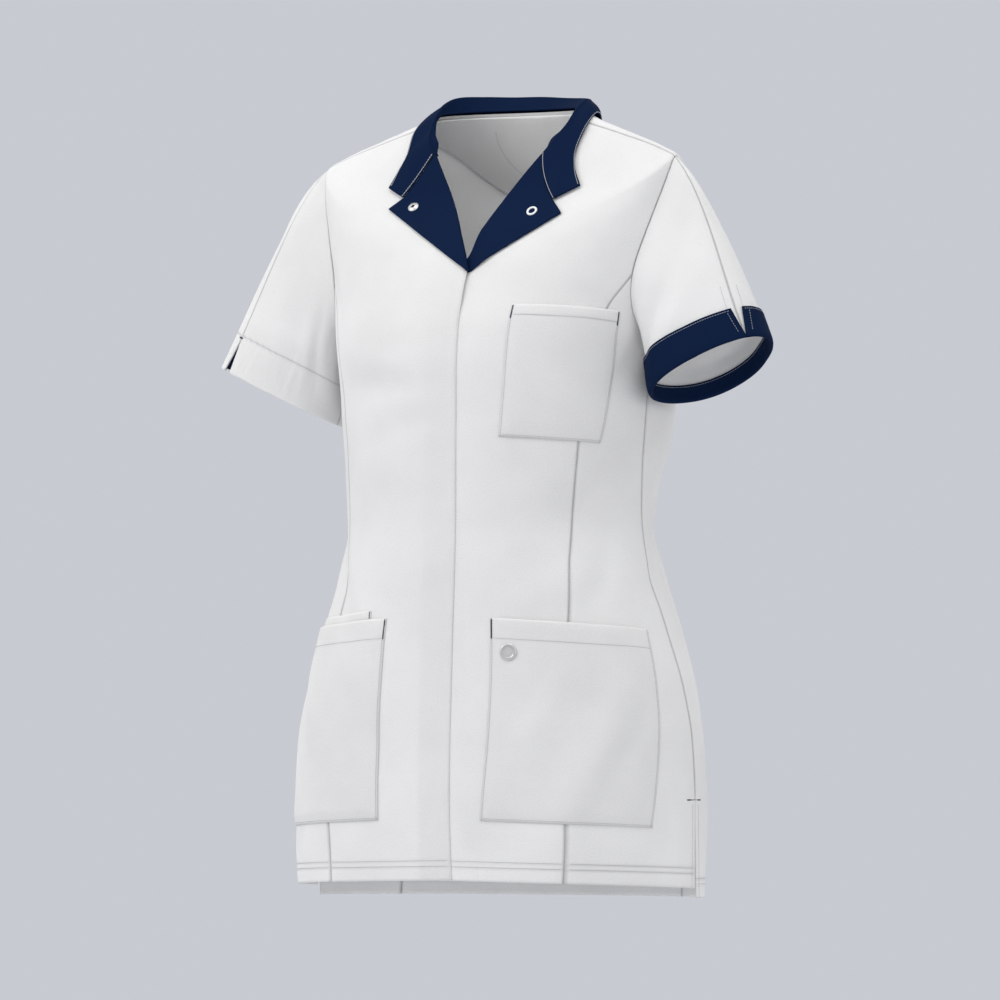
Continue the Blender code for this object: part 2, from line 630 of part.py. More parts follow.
def sleeve_axis(size):
    """Unit direction in which the sleeve leaves its hem ring."""
    outer_x, outer_z, inner_x, inner_z, _, half_depth, front_rise, _, _ = size
    outer = np.array([outer_x - inner_x, 0.0, outer_z - inner_z])
    front = np.array([0.0, -half_depth, front_rise])
    axis = np.cross(front, outer)
    return axis / np.linalg.norm(axis) * (-1.0 if axis[2] > 0.0 else 1.0)


def sleeve_surface(turn, share, size):
    """The sleeve: each lengthwise line is a curve from the armhole to the hem ring. Lines near
    the top seam move forward round the sleeve on their way down."""
    turn, share = np.broadcast_arrays(np.asarray(turn, float), np.asarray(share, float))
    forward = size[SLEEVE_COLUMNS.index("seam_forward")]
    turn = turn + forward * (1.0 - (1.0 - share) ** 2) * (1.0 + np.cos(np.radians(turn))) / 2.0
    place = armhole(turn)
    start = body(place[..., 0], place[..., 1])
    normal = outward(place[..., 0], place[..., 1])
    end = hem_ring(turn, size)
    axis = sleeve_axis(size)
    length = np.linalg.norm(end - start, axis=-1, keepdims=True)
    crown = ((1.0 + np.cos(np.radians(turn))) / 2.0) ** 3
    leave = axis + (LEAVE_SIDE + LEAVE_CROWN * crown)[..., None] * normal
    leave = leave / np.linalg.norm(leave, axis=-1, keepdims=True)
    start = start + leave * SLEEVE_START
    t = share[..., None]
    a = (2 * t**3 - 3 * t**2 + 1) * start + (t**3 - 2 * t**2 + t) * leave * length * LEAVE_LENGTH
    b = (3 * t**2 - 2 * t**3) * end + (t**3 - t**2) * axis * length * ARRIVE_LENGTH
    return a + b


def sleeve_lifted(turn, share, size, lift):
    """Points moved out from the sleeve's surface."""
    turn, share = np.broadcast_arrays(np.asarray(turn, float), np.asarray(share, float))
    middle = sleeve_surface(turn, share, size)
    along = sleeve_surface(turn + 2.0, share, size) - sleeve_surface(turn - 2.0, share, size)
    down = sleeve_surface(turn, share + 0.01, size) - sleeve_surface(turn, share - 0.01, size)
    normal = np.cross(along, down)
    normal = normal / np.linalg.norm(normal, axis=-1, keepdims=True)
    return middle + normal * np.asarray(lift, float)[..., None]


def share_above_hem(turn, distance, size):
    """The place on each lengthwise line that lies this far above the hem."""
    near = sleeve_surface(turn, 1.0, size) - sleeve_surface(turn, NEAR_HEM, size)
    return 1.0 - distance * (1.0 - NEAR_HEM) / np.linalg.norm(near, axis=-1)


def mirrored(points, side):
    return points * np.array([side, 1.0, 1.0])


def sleeve_piece(name, turns, side, size, slit_end, opening):
    """One half of a sleeve; the slit takes its top line off the seam towards the hem."""
    share = np.linspace(0.0, 1.0, SLEEVE_ROWS + 1)
    grid_turn = np.broadcast_to(turns, (len(share), len(turns))).copy()
    grid_share = np.broadcast_to(share[:, None], grid_turn.shape)
    points = sleeve_surface(grid_turn, grid_share, size)
    if opening:
        column, inner = (0, 1) if slit_end == "start" else (-1, -2)
        last = share_above_hem(turns[column:][:1], SLIT_DEPTH, size)[0]
        open_share = np.clip((share - last) / (1.0 - last), 0.0, 1.0)[:, None]
        step = points[:, inner] - points[:, column]
        step = step / np.linalg.norm(step, axis=-1, keepdims=True)
        points[:, column] = points[:, column] + step * open_share * SLIT_HALF
    points = inset(points, RIDGE_SEAM, "lr")
    return cloth_piece(name, mirrored(points, side), WHITE)


def make_cuff():
    """The left sleeve's facing: up inside the sleeve, round its fold and up again outside."""
    front, back = sleeve_turns()
    turns = np.concatenate([front, back[1:]])
    size = SLEEVE_HEMS["left"]
    rows = []
    for height, lift in CUFF_PROFILE:
        share = share_above_hem(turns, height, size)
        line = sleeve_lifted(turns, share, size, np.full(turns.shape, lift))
        gap = SEAM + SLIT_HALF * max(0.0, height / CUFF_DEPTH) * (lift > 0.0)
        for column, inner in ((0, 1), (-1, -2)):
            step = line[inner] - line[column]
            line[column] = line[column] + step / np.linalg.norm(step) * gap
        rows.append(line)
    return cloth_piece("cuff_left", np.array(rows), NAVY, FACING_CLOTH)


def make_hem_facing():
    """Facing inside the right sleeve's hem, parted at the slit."""
    front, back = sleeve_turns()
    turns = np.concatenate([front, back[1:]])
    size = SLEEVE_HEMS["right"]
    rows = []
    for height in FACING_HEIGHTS:
        share = share_above_hem(turns, height, size)
        line = sleeve_lifted(turns, share, size, np.full(turns.shape, -LAYER))
        gap = SEAM + SLIT_HALF * max(0.0, 1.0 - height / SLIT_DEPTH)
        for column, inner in ((0, 1), (-1, -2)):
            step = line[inner] - line[column]
            line[column] = line[column] + step / np.linalg.norm(step) * gap
        rows.append(line)
    points = mirrored(np.array(rows), -1.0)
    return cloth_piece("hem_facing_right", points, NAVY, FACING_CLOTH)


def make_sleeves():
    front, back = sleeve_turns()
    for name, side in (("right", -1.0), ("left", 1.0)):
        size = SLEEVE_HEMS[name]
        opening = name == "right"
        sleeve_piece("sleeve_front_" + name, front, side, size, "start", opening)
        sleeve_piece("sleeve_back_" + name, back, side, size, "end", opening)
    make_cuff()
    make_hem_facing()


# ---------------------------------------------------------------- collar and lapels

STAND_POINTS = 3
LEAF_POINTS = 5
LAPEL_ROWS = 9
GORGE_COLUMNS = 4
# columns: distance beyond the roll line, lift
WRAP = ((-0.55, -0.18), (-0.05, -0.18), (0.13, -0.10), (0.19, 0.06), (0.12, 0.22))


def tilted(row, side):
    """A row of the collar's table with its fold raised or lowered by the collar's tilt."""
    behind = min(max((row[0] - TILT_FADE) / (180.0 - TILT_FADE), 0.0) * 4.0, 1.0)
    return row[:3] + (row[3] - side * row[1] * COLLAR_TILT * behind,) + row[4:]


def collar_station(row):
    """One section of the collar: up the stand, over the fold and down the leaf."""
    angle, fold_x, fold_y, fold_z, edge_angle, edge_level, bulge = row
    foot = body(angle, COLLAR_FOOT, 0.02)
    fold = np.array([fold_x, fold_y, fold_z])
    edge = body(edge_angle, edge_level, COLLAR_LIFT)
    out = np.array([fold_x, fold_y - NECK_CENTRE, 0.0])
    out = out / np.linalg.norm(out)
    crest = fold + out * FOLD_ROUND[0]
    over = crest + out * FOLD_ROUND[1] + np.array([0.0, 0.0, FOLD_ROUND[2]])
    bow = (over + edge) / 2.0 + out * bulge
    share = np.linspace(0.0, 1.0, STAND_POINTS)[:, None]
    stand = foot * (1.0 - share) + (fold - np.array([0.0, 0.0, STAND_BELOW])) * share
    t = np.linspace(0.0, 1.0, LEAF_POINTS)[:, None]
    leaf = (1 - t) ** 2 * over + 2 * t * (1 - t) * bow + t**2 * edge
    return np.concatenate([stand, crest[None], leaf])


def collar_end(name):
    """The collar's front end: round the roll, along the gorge to the notch and out to the corner."""
    _, start, notch, _, corner, _ = LAPELS[name]
    gorge = straight(start, notch, LEAF_POINTS - 2)
    tip = straight(notch, corner, 2)[1:]
    line = np.concatenate([gorge, tip]) + np.array(GORGE_GAP)
    place = on_front(line[:, 0], line[:, 1])
    points = body(place[:, 0], place[:, 1], COLLAR_LIFT)
    under = body(place[0, 0], place[0, 1] + UNDER_COLLAR[0], UNDER_COLLAR[1])
    return np.concatenate([under + np.array(COLLAR_HOOK), points])


def make_collar():
    left = [collar_station(tilted(row, 1.0)) for row in COLLAR] + [collar_end("left")]
    right = [collar_station(tilted(row, -1.0)) for row in COLLAR[1:]] + [collar_end("right")]
    stations = [mirrored(line, -1.0) for line in right[::-1]] + left
    return cloth_piece("collar", np.array(stations), NAVY, COLLAR_WALL)


def dip(x, z):
    """How far the left front sinks where it runs under the right one."""
    reach = np.clip((UNDER_EDGE - x) / UNDER_RAMP, 0.0, 1.0)
    below = np.clip((UNDER_START - z) / UNDER_FALL, 0.0, 1.0)
    return -UNDER_DEPTH * reach * reach * (3.0 - 2.0 * reach) * below * below * (3.0 - 2.0 * below)


def make_lapel(name, side, foot, tip):
    """A turned-out facing: from inside the front's edge, round the roll line, out to its corner."""
    rows, gorge_columns = LAPEL_ROWS, GORGE_COLUMNS
    _, gorge, notch, corner, _, _ = LAPELS[name]
    inner = roll_line(name, foot, rows - 1)
    outer = straight(tip, corner, rows - 1)
    top = np.concatenate([straight(gorge, notch, gorge_columns), straight(notch, corner, 2)[1:]])
    bottom = straight(inner[0], outer[0], len(top) - 1)
    flat = patch(inner, outer, bottom, top)
    lift = np.full(flat.shape[:2], LAPEL_LIFT)
    run = np.gradient(inner, axis=0)
    run = run / np.linalg.norm(run, axis=1, keepdims=True)
    beyond = np.stack([-run[:, 1], run[:, 0]], -1)
    wrap = np.stack([inner + beyond * reach for reach, _ in WRAP], 1)
    wrap_lift = np.broadcast_to([height for _, height in WRAP], wrap.shape[:2])
    flat = np.concatenate([wrap, flat], 1)
    lift = np.concatenate([wrap_lift, lift], 1)
    place = on_front(flat[..., 0], flat[..., 1])
    if name == "left":
        lift = lift + dip(flat[..., 0], flat[..., 1])
    points = body(place[..., 0] * side, place[..., 1], lift)
    return cloth_piece("lapel_" + name, inset(points, SEAM * 2.0, "rbt"), NAVY, FACING_CLOTH)


def make_lapels():
    make_lapel("right", -1.0, LAPELS["right"][0], LAPEL_TIPS["right"])
    make_lapel("left", 1.0, LAPEL_START_LEFT, LAPEL_TIPS["left"])


# ---------------------------------------------------------------- snaps and the disc

def turned(name, profile, place, side, lift, colour, roughness, metallic):
    """A small turned piece on the front: a profile of radius and height, spun about its axis."""
    mesh = bpy.data.meshes.new(name)
    build = bmesh.new()
    verts = [build.verts.new((radius * CM, 0.0, height * CM)) for radius, height in profile]
    ends = list(zip(verts, verts[1:]))
    if profile[0][0] > 0.0:
        ends.append((verts[-1], verts[0]))
    for a, b in ends:
        build.edges.new((a, b))
    build.to_mesh(mesh)
    build.free()
    piece = add_object(name, mesh, colour, roughness, metallic)
    spin = piece.modifiers.new("spin", "SCREW")
    spin.steps = spin.render_steps = SPIN_STEPS
    spin.use_merge_vertices = True
    spin.merge_threshold = MERGE
    at = on_front(*place)
    where = body(at[0] * side, at[1], lift)
    normal = outward(at[0] * side, at[1])
    piece.location = where * CM
    piece.rotation_mode = "QUATERNION"
    piece.rotation_quaternion = Vector(normal).to_track_quat("Z", "Y")
    return piece


def make_fastenings():
    """The snap on the right lapel, the ring on the left one and the disc on the pocket."""
    right, left = LAPELS["right"][-1], LAPELS["left"][-1]
    turned("snap_socket_right", SOCKET, right, -1.0, LAPEL_LIFT + PART_GAP, STEEL, *METAL)
    turned("snap_ring_left", RING, left, 1.0, LAPEL_LIFT + PART_GAP, PLASTIC, *MOULDED)
    turned("pocket_disc", DISC, DISC_AT, 1.0, POCKET_LIFT + DISC_GAP, STEEL, *METAL)


def main():
    clear_scene()
    collection = bpy.data.collections.new("work_tunic")
    bpy.context.scene.collection.children.link(collection)
    make_body_pieces()
    make_pockets()
    make_sleeves()
    make_collar()
    make_lapels()
    make_fastenings()


main()
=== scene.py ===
# A filled-out work tunic, sewn piece by piece over its plain solids.
#
# Frame: metres, +Z up, the front faces -Y and +X is the wearer's left. The shape tables are
# in centimetres, and CM turns them into metres. The body is one surface of rings round the
# trunk: a place on it is an angle (0 at the centre front, 90 at the side, 180 at the centre
# back, minus on the wearer's right) and a level. Every piece is a patch of that surface or
# of a sleeve, worked out as one grid of points and given a wall.
import math

import bpy
import numpy as np
from bpy.props import FloatProperty, FloatVectorProperty, PointerProperty
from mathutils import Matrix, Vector


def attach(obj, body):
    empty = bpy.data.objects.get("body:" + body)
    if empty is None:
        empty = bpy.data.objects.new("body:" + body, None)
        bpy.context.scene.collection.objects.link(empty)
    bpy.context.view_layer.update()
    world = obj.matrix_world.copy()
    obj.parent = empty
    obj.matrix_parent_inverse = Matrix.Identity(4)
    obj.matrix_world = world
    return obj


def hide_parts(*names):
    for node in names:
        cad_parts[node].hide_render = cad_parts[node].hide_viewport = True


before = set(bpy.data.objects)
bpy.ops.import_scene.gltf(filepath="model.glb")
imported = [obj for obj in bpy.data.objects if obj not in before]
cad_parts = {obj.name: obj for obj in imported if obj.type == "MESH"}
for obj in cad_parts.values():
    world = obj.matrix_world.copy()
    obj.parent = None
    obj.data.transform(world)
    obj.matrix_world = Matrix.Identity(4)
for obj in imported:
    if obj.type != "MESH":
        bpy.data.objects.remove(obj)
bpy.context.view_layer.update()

bl_info = {
    "name": "Work tunic",
    "version": (1, 0, 0),
    "blender": (4, 5, 0),
    "location": "3D View > Sidebar > Tunic",
    "description": "Cuts, shapes and sews a filled-out work tunic piece by piece",
    "category": "Add Mesh",
}

CM = 0.01

# ---- rings of the body ----
RING_COLUMNS = (
    "level", "half_width", "front_y", "back_y", "side_y", "front_z", "back_z", "square", "drop",
)
RINGS = (
    (-78.0, 21.3, -14.2, 10.8, 0.0, -78.0, -78.0, 2.3, 2.00),   # below the hem
    (-68.0, 21.3, -14.7, 11.5, 0.0, -68.0, -68.0, 2.3, 2.00),   # top of the side slits
    (-62.0, 21.0, -14.6, 11.9, 0.0, -62.0, -62.0, 2.3, 2.00),
    (-57.0, 20.1, -14.4, 12.7, 0.0, -57.0, -57.0, 2.3, 2.00),   # seat
    (-51.0, 18.2, -14.1, 13.4, 0.0, -51.0, -51.0, 2.3, 2.00),   # mouth of the hip pockets
    (-46.0, 16.6, -13.8, 12.6, 0.0, -46.0, -46.0, 2.3, 2.00),
    (-40.5, 15.6, -13.6, 10.4, 0.3, -40.5, -40.5, 2.3, 2.00),   # waist
    (-36.0, 16.0, -13.5, 11.0, 1.0, -36.0, -36.0, 2.3, 2.00),
    (-31.0, 16.7, -13.5, 13.0, 2.0, -31.0, -31.0, 2.3, 2.00),
    (-26.0, 17.2, -13.5, 13.2, 2.0, -26.0, -26.0, 2.3, 2.00),   # bust
    (-22.0, 17.4, -13.2, 12.8, 1.2, -22.0, -22.0, 2.3, 2.00),   # bottom of the armholes
    (-16.0, 17.9, -12.2, 12.6, 0.5, -18.4, -17.0, 2.2, 1.80),
    (-10.0, 18.9, -10.7, 12.3, 0.0, -15.0, -13.0, 2.1, 1.60),
    (-4.2, 19.6, -8.6, 11.3, -0.4, -12.0, -9.5, 2.0, 1.30),     # tips of the shoulders
    (-3.3, 18.1, -7.5, 10.9, -0.2, -10.7, -7.6, 2.0, 1.28),
    (-1.5, 13.7, -5.6, 9.4, 0.3, -8.2, -3.8, 2.0, 1.25),
    (0.8, 7.6, -3.8, 7.2, 1.0, -5.0, 1.5, 2.0, 1.25),           # neckline
)

TIP_LEVEL = -4.2          # level of the shoulder tips
BACK_FLAT = 0.45          # how much flatter than the front the back's neckline runs
NECK_RAISE = 0.32         # and how much higher it stands

# ---- soft folds of the body: a bump (+) or hollow (-) round a short line ----
# columns: angle, level, half_length, half_width, slope, depth
FOLDS = (
    (58.0, -38.5, 5.0, 3.6, 70.0, -0.55),     # hollow at the left waist
    (40.0, -47.0, 6.0, 1.8, 20.0, 0.20),
    (-48.0, -46.0, 6.5, 1.5, -50.0, -0.40),   # slanting hollow at the right waist
    (-30.0, -49.0, 6.0, 1.6, -48.0, 0.22),
    (-24.0, -27.0, 7.5, 1.7, 4.0, -0.22),     # shade under the bust on the right
    (-60.0, -58.0, 8.0, 1.5, -65.0, -0.30),   # fold across the right hip pocket
    (-46.0, -60.0, 9.0, 1.6, -62.0, 0.25),
    (-38.0, -73.0, 4.0, 1.3, 85.0, -0.25),    # waves above the front hem
    (-62.0, -72.5, 4.5, 1.4, 80.0, 0.25),
    (52.0, -60.0, 9.0, 1.8, 62.0, 0.20),
    (34.0, -64.0, 8.0, 1.8, 66.0, -0.18),
    (150.0, -40.5, 6.5, 1.8, 12.0, -0.45),    # folds that cross the back's waist
    (-146.0, -38.0, 7.0, 1.7, -14.0, -0.40),
    (165.0, -45.0, 6.0, 1.6, 22.0, 0.30),
    (-160.0, -44.0, 6.5, 1.7, -20.0, 0.28),
    (118.0, -27.0, 5.0, 1.6, -58.0, -0.35),   # drags from the backs of the armholes
    (-119.0, -26.0, 5.5, 1.6, 55.0, -0.32),
)
FOLD_RADIUS = 16.0        # a degree round the body counts as this radius gives it

# ---- seams of the body ----
FACING_DEPTH = 0.30       # how far it hangs inside the back
FACING_TOP = 0.5          # the back neck's facing ends just under the collar's seam
FACING_START = 93.0       # angle at which it begins
# columns: angle, level of its lower edge
FACING_EDGE = ((92.0, -0.6), (112.0, -0.8), (135.0, -1.3), (161.5, -2.8), (180.0, -4.1))
HEM_FRONT = -75.75
HEM_RUN = 0.3             # the front hem drops this much from the centre to the long seam
HEM_SIDE = -76.6
HEM_BACK = -77.6
SLIT_TOP = -68.0
SLIT_SPREAD = 1.1         # degrees that each side of a slit stands off at the hem
ARMPIT = -22.0
OVERLAP = 1.8             # each front runs this far past the centre line
# columns: level, distance from the centre
FRONT_SEAM = (
    (-78.0, 12.9), (-70.6, 13.3), (-50.4, 12.9), (-44.3, 12.5), (-32.5, 13.0),
    (-22.7, 14.5), (-19.1, 15.3),
)
# columns: level, distance from the centre
BACK_SEAM = (
    (-78.0, 16.0), (-68.0, 15.6), (-57.0, 14.8), (-46.0, 13.2), (-38.5, 12.9),
    (-32.0, 14.0), (-22.0, 15.8),
)
# columns: level, angle
SIDE_SEAM = (
    (-78.0, 91.0), (-50.0, 90.0), (-42.0, 89.0), (-37.0, 84.0), (-31.0, 78.0), (-26.0, 77.5),
    (ARMPIT, 81.0),
)
# columns: level, angle
SHOULDER_SEAM = ((-4.2, 87.0), (-2.2, 85.0), (-0.5, 82.0), (0.6, 79.0))

# ---- armhole: an egg in angle and level, turned from the shoulder tip over the front ----
ARMHOLE_FRONT = 15.5
ARMHOLE_BACK = 18.0
ARMHOLE_SKEW = 0.33
JOIN_FRONT = 107.0        # turns where the long seams leave the armhole
JOIN_BACK = 258.0

# ---- fronts, as distance from the centre and height ----
# A row for each side: foot and top of the roll line, where the top is the collar's seam,
# then the notch, the corners of lapel and collar, and the snap. The right foot lies past
# the centre, and the left one is where the roll line runs under the right front.
# columns: foot, gorge, notch, lapel_corner, collar_corner, snap
LAPELS = {
    "right": ((-1.1, -14.3), (6.35, -3.6), (8.4, -8.0), (9.6, -9.1), (10.4, -6.95), (6.8, -9.0)),
    "left": ((1.5, -13.9), (6.05, -3.9), (8.8, -8.75), (10.3, -10.15), (11.3, -7.4), (6.95, -9.9)),
}
TIP_OF_V = 15.8                # the outer edges of the lapels end this far down
LAPEL_TIPS = {"right": (-1.9, -15.8), "left": (2.2, -15.65)}
LEFT_BREAK = 2.5               # the left front turns towards its roll line this much lower
ROLL_HOLLOW = {"right": 0.2, "left": 0.55}
UNDER_DEPTH = 0.60             # the left front runs this far behind the right one
UNDER_EDGE = 3.8               # it starts to sink this far from the centre
UNDER_RAMP = 2.6               # and is down after this distance
UNDER_START = -11.5            # height at which it starts to sink
UNDER_FALL = 2.5               # and it is down after this height
LAPEL_LIFT = 0.25

# ---- pockets: two small ones by corners as distance from the centre and height ----
CHEST_POCKET = ((7.2, -19.2), (16.0, -19.8), (14.4, -32.8), (6.2, -32.2))
INNER_POCKET = ((7.7, -49.25), (16.2, -50.1), (16.6, -54.5), (7.6, -53.6))
# ---- and the wide hip pockets by corners as angle and level ----
HIP_POCKET = ((18.4, -50.0), (75.0, -51.2), (64.8, -70.6), (13.6, -69.9))
DISC_AT = (7.7, -53.4)

# ---- sleeves: hem rings, corners as distance from the centre and height ----
# The top seam runs forward by seam_forward degrees, and the ring wavers by a share of its size.
SLEEVE_COLUMNS = ("outer_x", "outer_z", "inner_x", "inner_z", "centre_y", "half_depth", "front_rise",
                  "seam_forward", "waver")
SLEEVE_HEMS = {
    "right": (31.2, -24.4, 18.7, -30.2, -0.6, 5.8, 0.9, 48.0, 0.02),
    "left": (29.8, -22.6, 18.0, -28.5, -1.0, 5.8, 0.9, 33.0, 0.05),
}
WAVER_TURN = 260.0        # one of the three places where the ring stands out
SLEEVE_START = 0.02       # a sleeve begins this far outside the armhole's edge
LEAVE_SIDE = 0.32         # how far a sleeve leans out from the body as it leaves the armhole
LEAVE_CROWN = 0.40        # and how much more over the shoulder
LEAVE_LENGTH = 0.8        # strength of the curve where it leaves, as a share of its length
ARRIVE_LENGTH = 0.9       # and where it meets the hem
NEAR_HEM = 0.95           # share along the sleeve from which heights above the hem are measured
CUFF_DEPTH = 2.9          # depth of the left sleeve's turned-up facing
SLIT_DEPTH = 3.4          # and of the slit in the right sleeve's hem
FACING_IN = 1.5           # facing left inside above the fold
SLIT_HALF = 0.6           # half the slit's width at its open end

# ---- collar: places round the neck for one side ----
COLLAR_FOOT = 0.70             # level of the stand's seam, just clear of the neckline
COLLAR_LIFT = 0.36
COLLAR_TILT = 0.05             # the fold rises this much to each centimetre towards the right
TILT_FADE = 90.0               # and not at all in front of this angle
FOLD_ROUND = (0.15, 0.19, -0.20)   # out to the crest, on to the leaf's start, and its drop
STAND_BELOW = 0.12             # the stand ends this far below the fold
NECK_CENTRE = 2.0              # the folds face away from this y
UNDER_COLLAR = (0.1, -0.16)    # the collar's front ends start this far up and inside the gorge
# columns: x, y, z of the three points that round the roll there
COLLAR_HOOK = ((0.20, 0.10, 0.10), (0.02, 0.04, 0.05), (-0.12, -0.06, 0.02))
# columns: angle, fold_x, fold_y, fold_z, edge_angle, edge_level, bulge
COLLAR = (
    (180.0, 0.0, 8.3, 2.95, 180.0, -0.50, 0.45),
    (158.0, 3.0, 8.0, 2.85, 160.0, -0.48, 0.45),
    (135.0, 5.6, 6.6, 2.75, 137.0, -0.30, 0.50),
    (112.0, 7.3, 4.4, 2.50, 113.0, 0.05, 0.50),
    (95.0, 7.8, 2.4, 2.05, 95.0, 0.08, 0.50),
    (80.0, 7.8, 0.6, 0.95, 75.0, -0.12, 0.36),
    (64.0, 7.6, -1.0, -0.70, 57.0, -0.62, 0.25),
    (54.0, 7.15, -2.25, -1.95, 48.5, -1.35, 0.20),
)

# ---- how finely the cloth is made: steps to each step of the plain solids ----
FINE_ROWS = 10
FRONT_FINE = 8
SIDE_FINE = 7
BACK_FINE = 8
SLEEVE_FINE_ROWS = 9
SLEEVE_FINE_COLUMNS = 7
OVER_FRONT = 6            # steps of the armhole from the front seam's end to the shoulder tip
SLEEVE_ROWS = 8
FRONT_COLUMNS = 6
SIDE_COLUMNS = 5
BACK_COLUMNS = 16
FACING_COLUMNS = 8
FACING_ROWS = 4
LAPEL_ROWS = 9
GORGE_COLUMNS = 4

# ---- softer folds and dents: the same columns as FOLDS ----
SOFT_FOLDS = (
    (62.0, -45.0, 5.5, 1.7, 62.0, -0.36),     # left waist, running into the side
    (30.0, -41.0, 7.0, 2.2, 8.0, -0.18),
    (-28.0, -24.5, 6.0, 1.5, -14.0, 0.18),    # right bust
    (-14.0, -31.0, 7.0, 1.6, 16.0, -0.15),
    (8.0, -21.0, 4.5, 1.5, 78.0, -0.15),      # beside the closing, below the lapels
    (46.0, -17.6, 2.6, 1.2, -30.0, -0.24),    # dent over the chest pocket's outer end
    (70.0, -24.0, 4.0, 1.4, 52.0, -0.30),     # drag towards the left armhole
    (-72.0, -23.0, 4.5, 1.4, -54.0, -0.33),
    (-58.0, -16.0, 4.0, 1.5, -62.0, -0.21),
    (-8.0, -58.0, 11.0, 2.6, 84.0, -0.21),    # long soft waves down the front skirt
    (10.0, -64.0, 9.0, 2.4, 86.0, 0.18),
    (22.0, -57.0, 8.0, 2.0, 78.0, -0.15),
    (-25.0, -60.0, 7.0, 1.4, -58.0, -0.21),   # slanting creases of the right hip pocket
    (-36.0, -66.0, 6.0, 1.1, -60.0, -0.18),
    (-52.0, -66.5, 6.5, 1.2, -66.0, -0.20),
    (28.0, -58.0, 6.0, 1.2, 58.0, -0.15),     # slanting creases of the left hip pocket
    (44.0, -66.0, 6.5, 1.4, 64.0, 0.17),
    (58.0, -62.0, 6.0, 1.3, 60.0, -0.18),
    (-70.0, -71.0, 4.0, 1.0, 82.0, -0.24),    # waves above the hem
    (-50.0, -73.5, 3.2, 1.0, 86.0, 0.21),
    (-27.0, -73.0, 3.6, 1.3, 88.0, 0.18),
    (12.0, -73.5, 3.4, 1.5, 90.0, -0.17),
    (36.0, -73.0, 3.6, 1.3, 84.0, 0.18),
    (72.0, -71.5, 4.2, 1.2, 86.0, -0.21),
    (108.0, -70.0, 5.0, 1.3, 88.0, 0.24),
    (126.0, -71.0, 5.5, 1.5, 84.0, -0.22),
    (150.0, -70.5, 6.0, 1.7, 88.0, 0.21),
    (-168.0, -70.0, 6.5, 1.8, 92.0, -0.22),
    (-140.0, -71.0, 5.5, 1.4, 88.0, 0.22),
    (-112.0, -70.0, 5.0, 1.2, 84.0, -0.22),
    (100.0, -44.0, 5.0, 1.4, 38.0, -0.33),    # crush at the sides of the waist
    (-98.0, -42.5, 5.0, 1.5, -34.0, -0.36),
    (128.0, -38.0, 5.5, 1.4, -16.0, -0.36),
    (172.0, -37.0, 6.0, 1.3, -8.0, -0.30),
    (-170.0, -42.0, 5.5, 1.3, 12.0, -0.27),
    (-128.0, -43.0, 5.0, 1.4, 24.0, -0.33),
    (142.0, -48.0, 6.0, 1.6, 34.0, 0.21),
    (-150.0, -49.0, 6.0, 1.6, -30.0, 0.20),
    (140.0, -20.0, 7.0, 1.8, -66.0, -0.24),   # shoulder blades
    (-142.0, -19.0, 7.0, 1.8, 64.0, -0.22),
    (178.0, -24.0, 8.0, 2.2, 88.0, -0.21),
)
# ---- dents and drags of the sleeves: turn round, share along, sizes, slope, depth ----
SLEEVE_FOLDS = {
    "left": (
        (92.0, 0.46, 26.0, 0.13, 0.9, -0.40),
        (60.0, 0.62, 30.0, 0.10, 1.2, 0.22),
        (128.0, 0.60, 18.0, 0.20, 0.6, -0.34),
        (205.0, 0.45, 20.0, 0.16, -0.8, -0.40),
        (260.0, 0.60, 26.0, 0.12, -1.0, -0.30),
        (30.0, 0.30, 18.0, 0.14, 0.9, -0.14),
        (318.0, 0.42, 20.0, 0.16, -0.9, -0.20),
    ),
    "right": (
        (78.0, 0.52, 22.0, 0.20, 0.7, -0.26),
        (50.0, 0.70, 24.0, 0.16, 1.0, 0.20),
        (122.0, 0.48, 16.0, 0.26, 0.7, -0.42),
        (150.0, 0.70, 16.0, 0.20, 0.6, 0.26),
        (210.0, 0.50, 20.0, 0.18, -0.7, -0.40),
        (262.0, 0.64, 24.0, 0.16, -0.9, -0.28),
        (325.0, 0.46, 20.0, 0.18, -0.8, -0.20),
    ),
}
# ---- sewing ----
SEAM_SINK = 0.045         # how far an edge dives into its seam
SEAM_REACH = 0.13
PUCKER = 0.022            # height of the ripples beside a seam
PUCKER_REACH = 0.75
HEM_STITCH = 1.4          # the hem's stitching lies this far above its edge
HEM_SECOND = 0.55         # and its second row this much higher
EDGE_STITCH = 0.22        # stitching beside a pocket's edges
CHEST_BAND = 1.1          # turned-down tops of the pockets
HIP_BAND = 2.0
INNER_BAND = 0.9
POCKET_RISE = 1.3         # a pocket reaches its full height this far inside its edges
POCKET_GAPE = 0.10        # its mouth stands off this much more at its middle
GAPE_DOWN = 1.6
GAPE_ACROSS = 3.5
GAPE_POWER = 0.8
SLEEVE_HEM = 4.0          # stitching above the right sleeve's hem
SLIT_STITCH = 0.6
COLLAR_STITCH = 0.17
UNDER_RISE = -16.2        # below this height the left front comes up again
UNDER_BACK = 5.0          # over this distance
UNDER_LEAST = 0.125       # to this far behind the right one
STITCH_PITCH = 0.26
STITCH_LENGTH = 0.22
STITCH_LIFT = 0.052
THREAD = 0.052
TACK_WIDTH = 0.17
TACK_PITCH = 0.055
SLIT_SIDE = 0.9           # stitching beside the left sleeve's top seam, above its cuff
SLIT_SIDE_LENGTH = 2.8
SLEEVE_TACK = 3.2         # half the turn of the bar above the right sleeve's slit
EDGE_PITCH = 0.30
EDGE_LENGTH = 0.31
EDGE_THREAD = 0.09
SLIT_TACK = 90.3          # angle of the bar above a side slit
SLIT_TACK_LENGTH = 4.8
GORGE_APART = np.array([0.02, 0.02])
GORGE_INSET = np.array([0.09, 0.07])
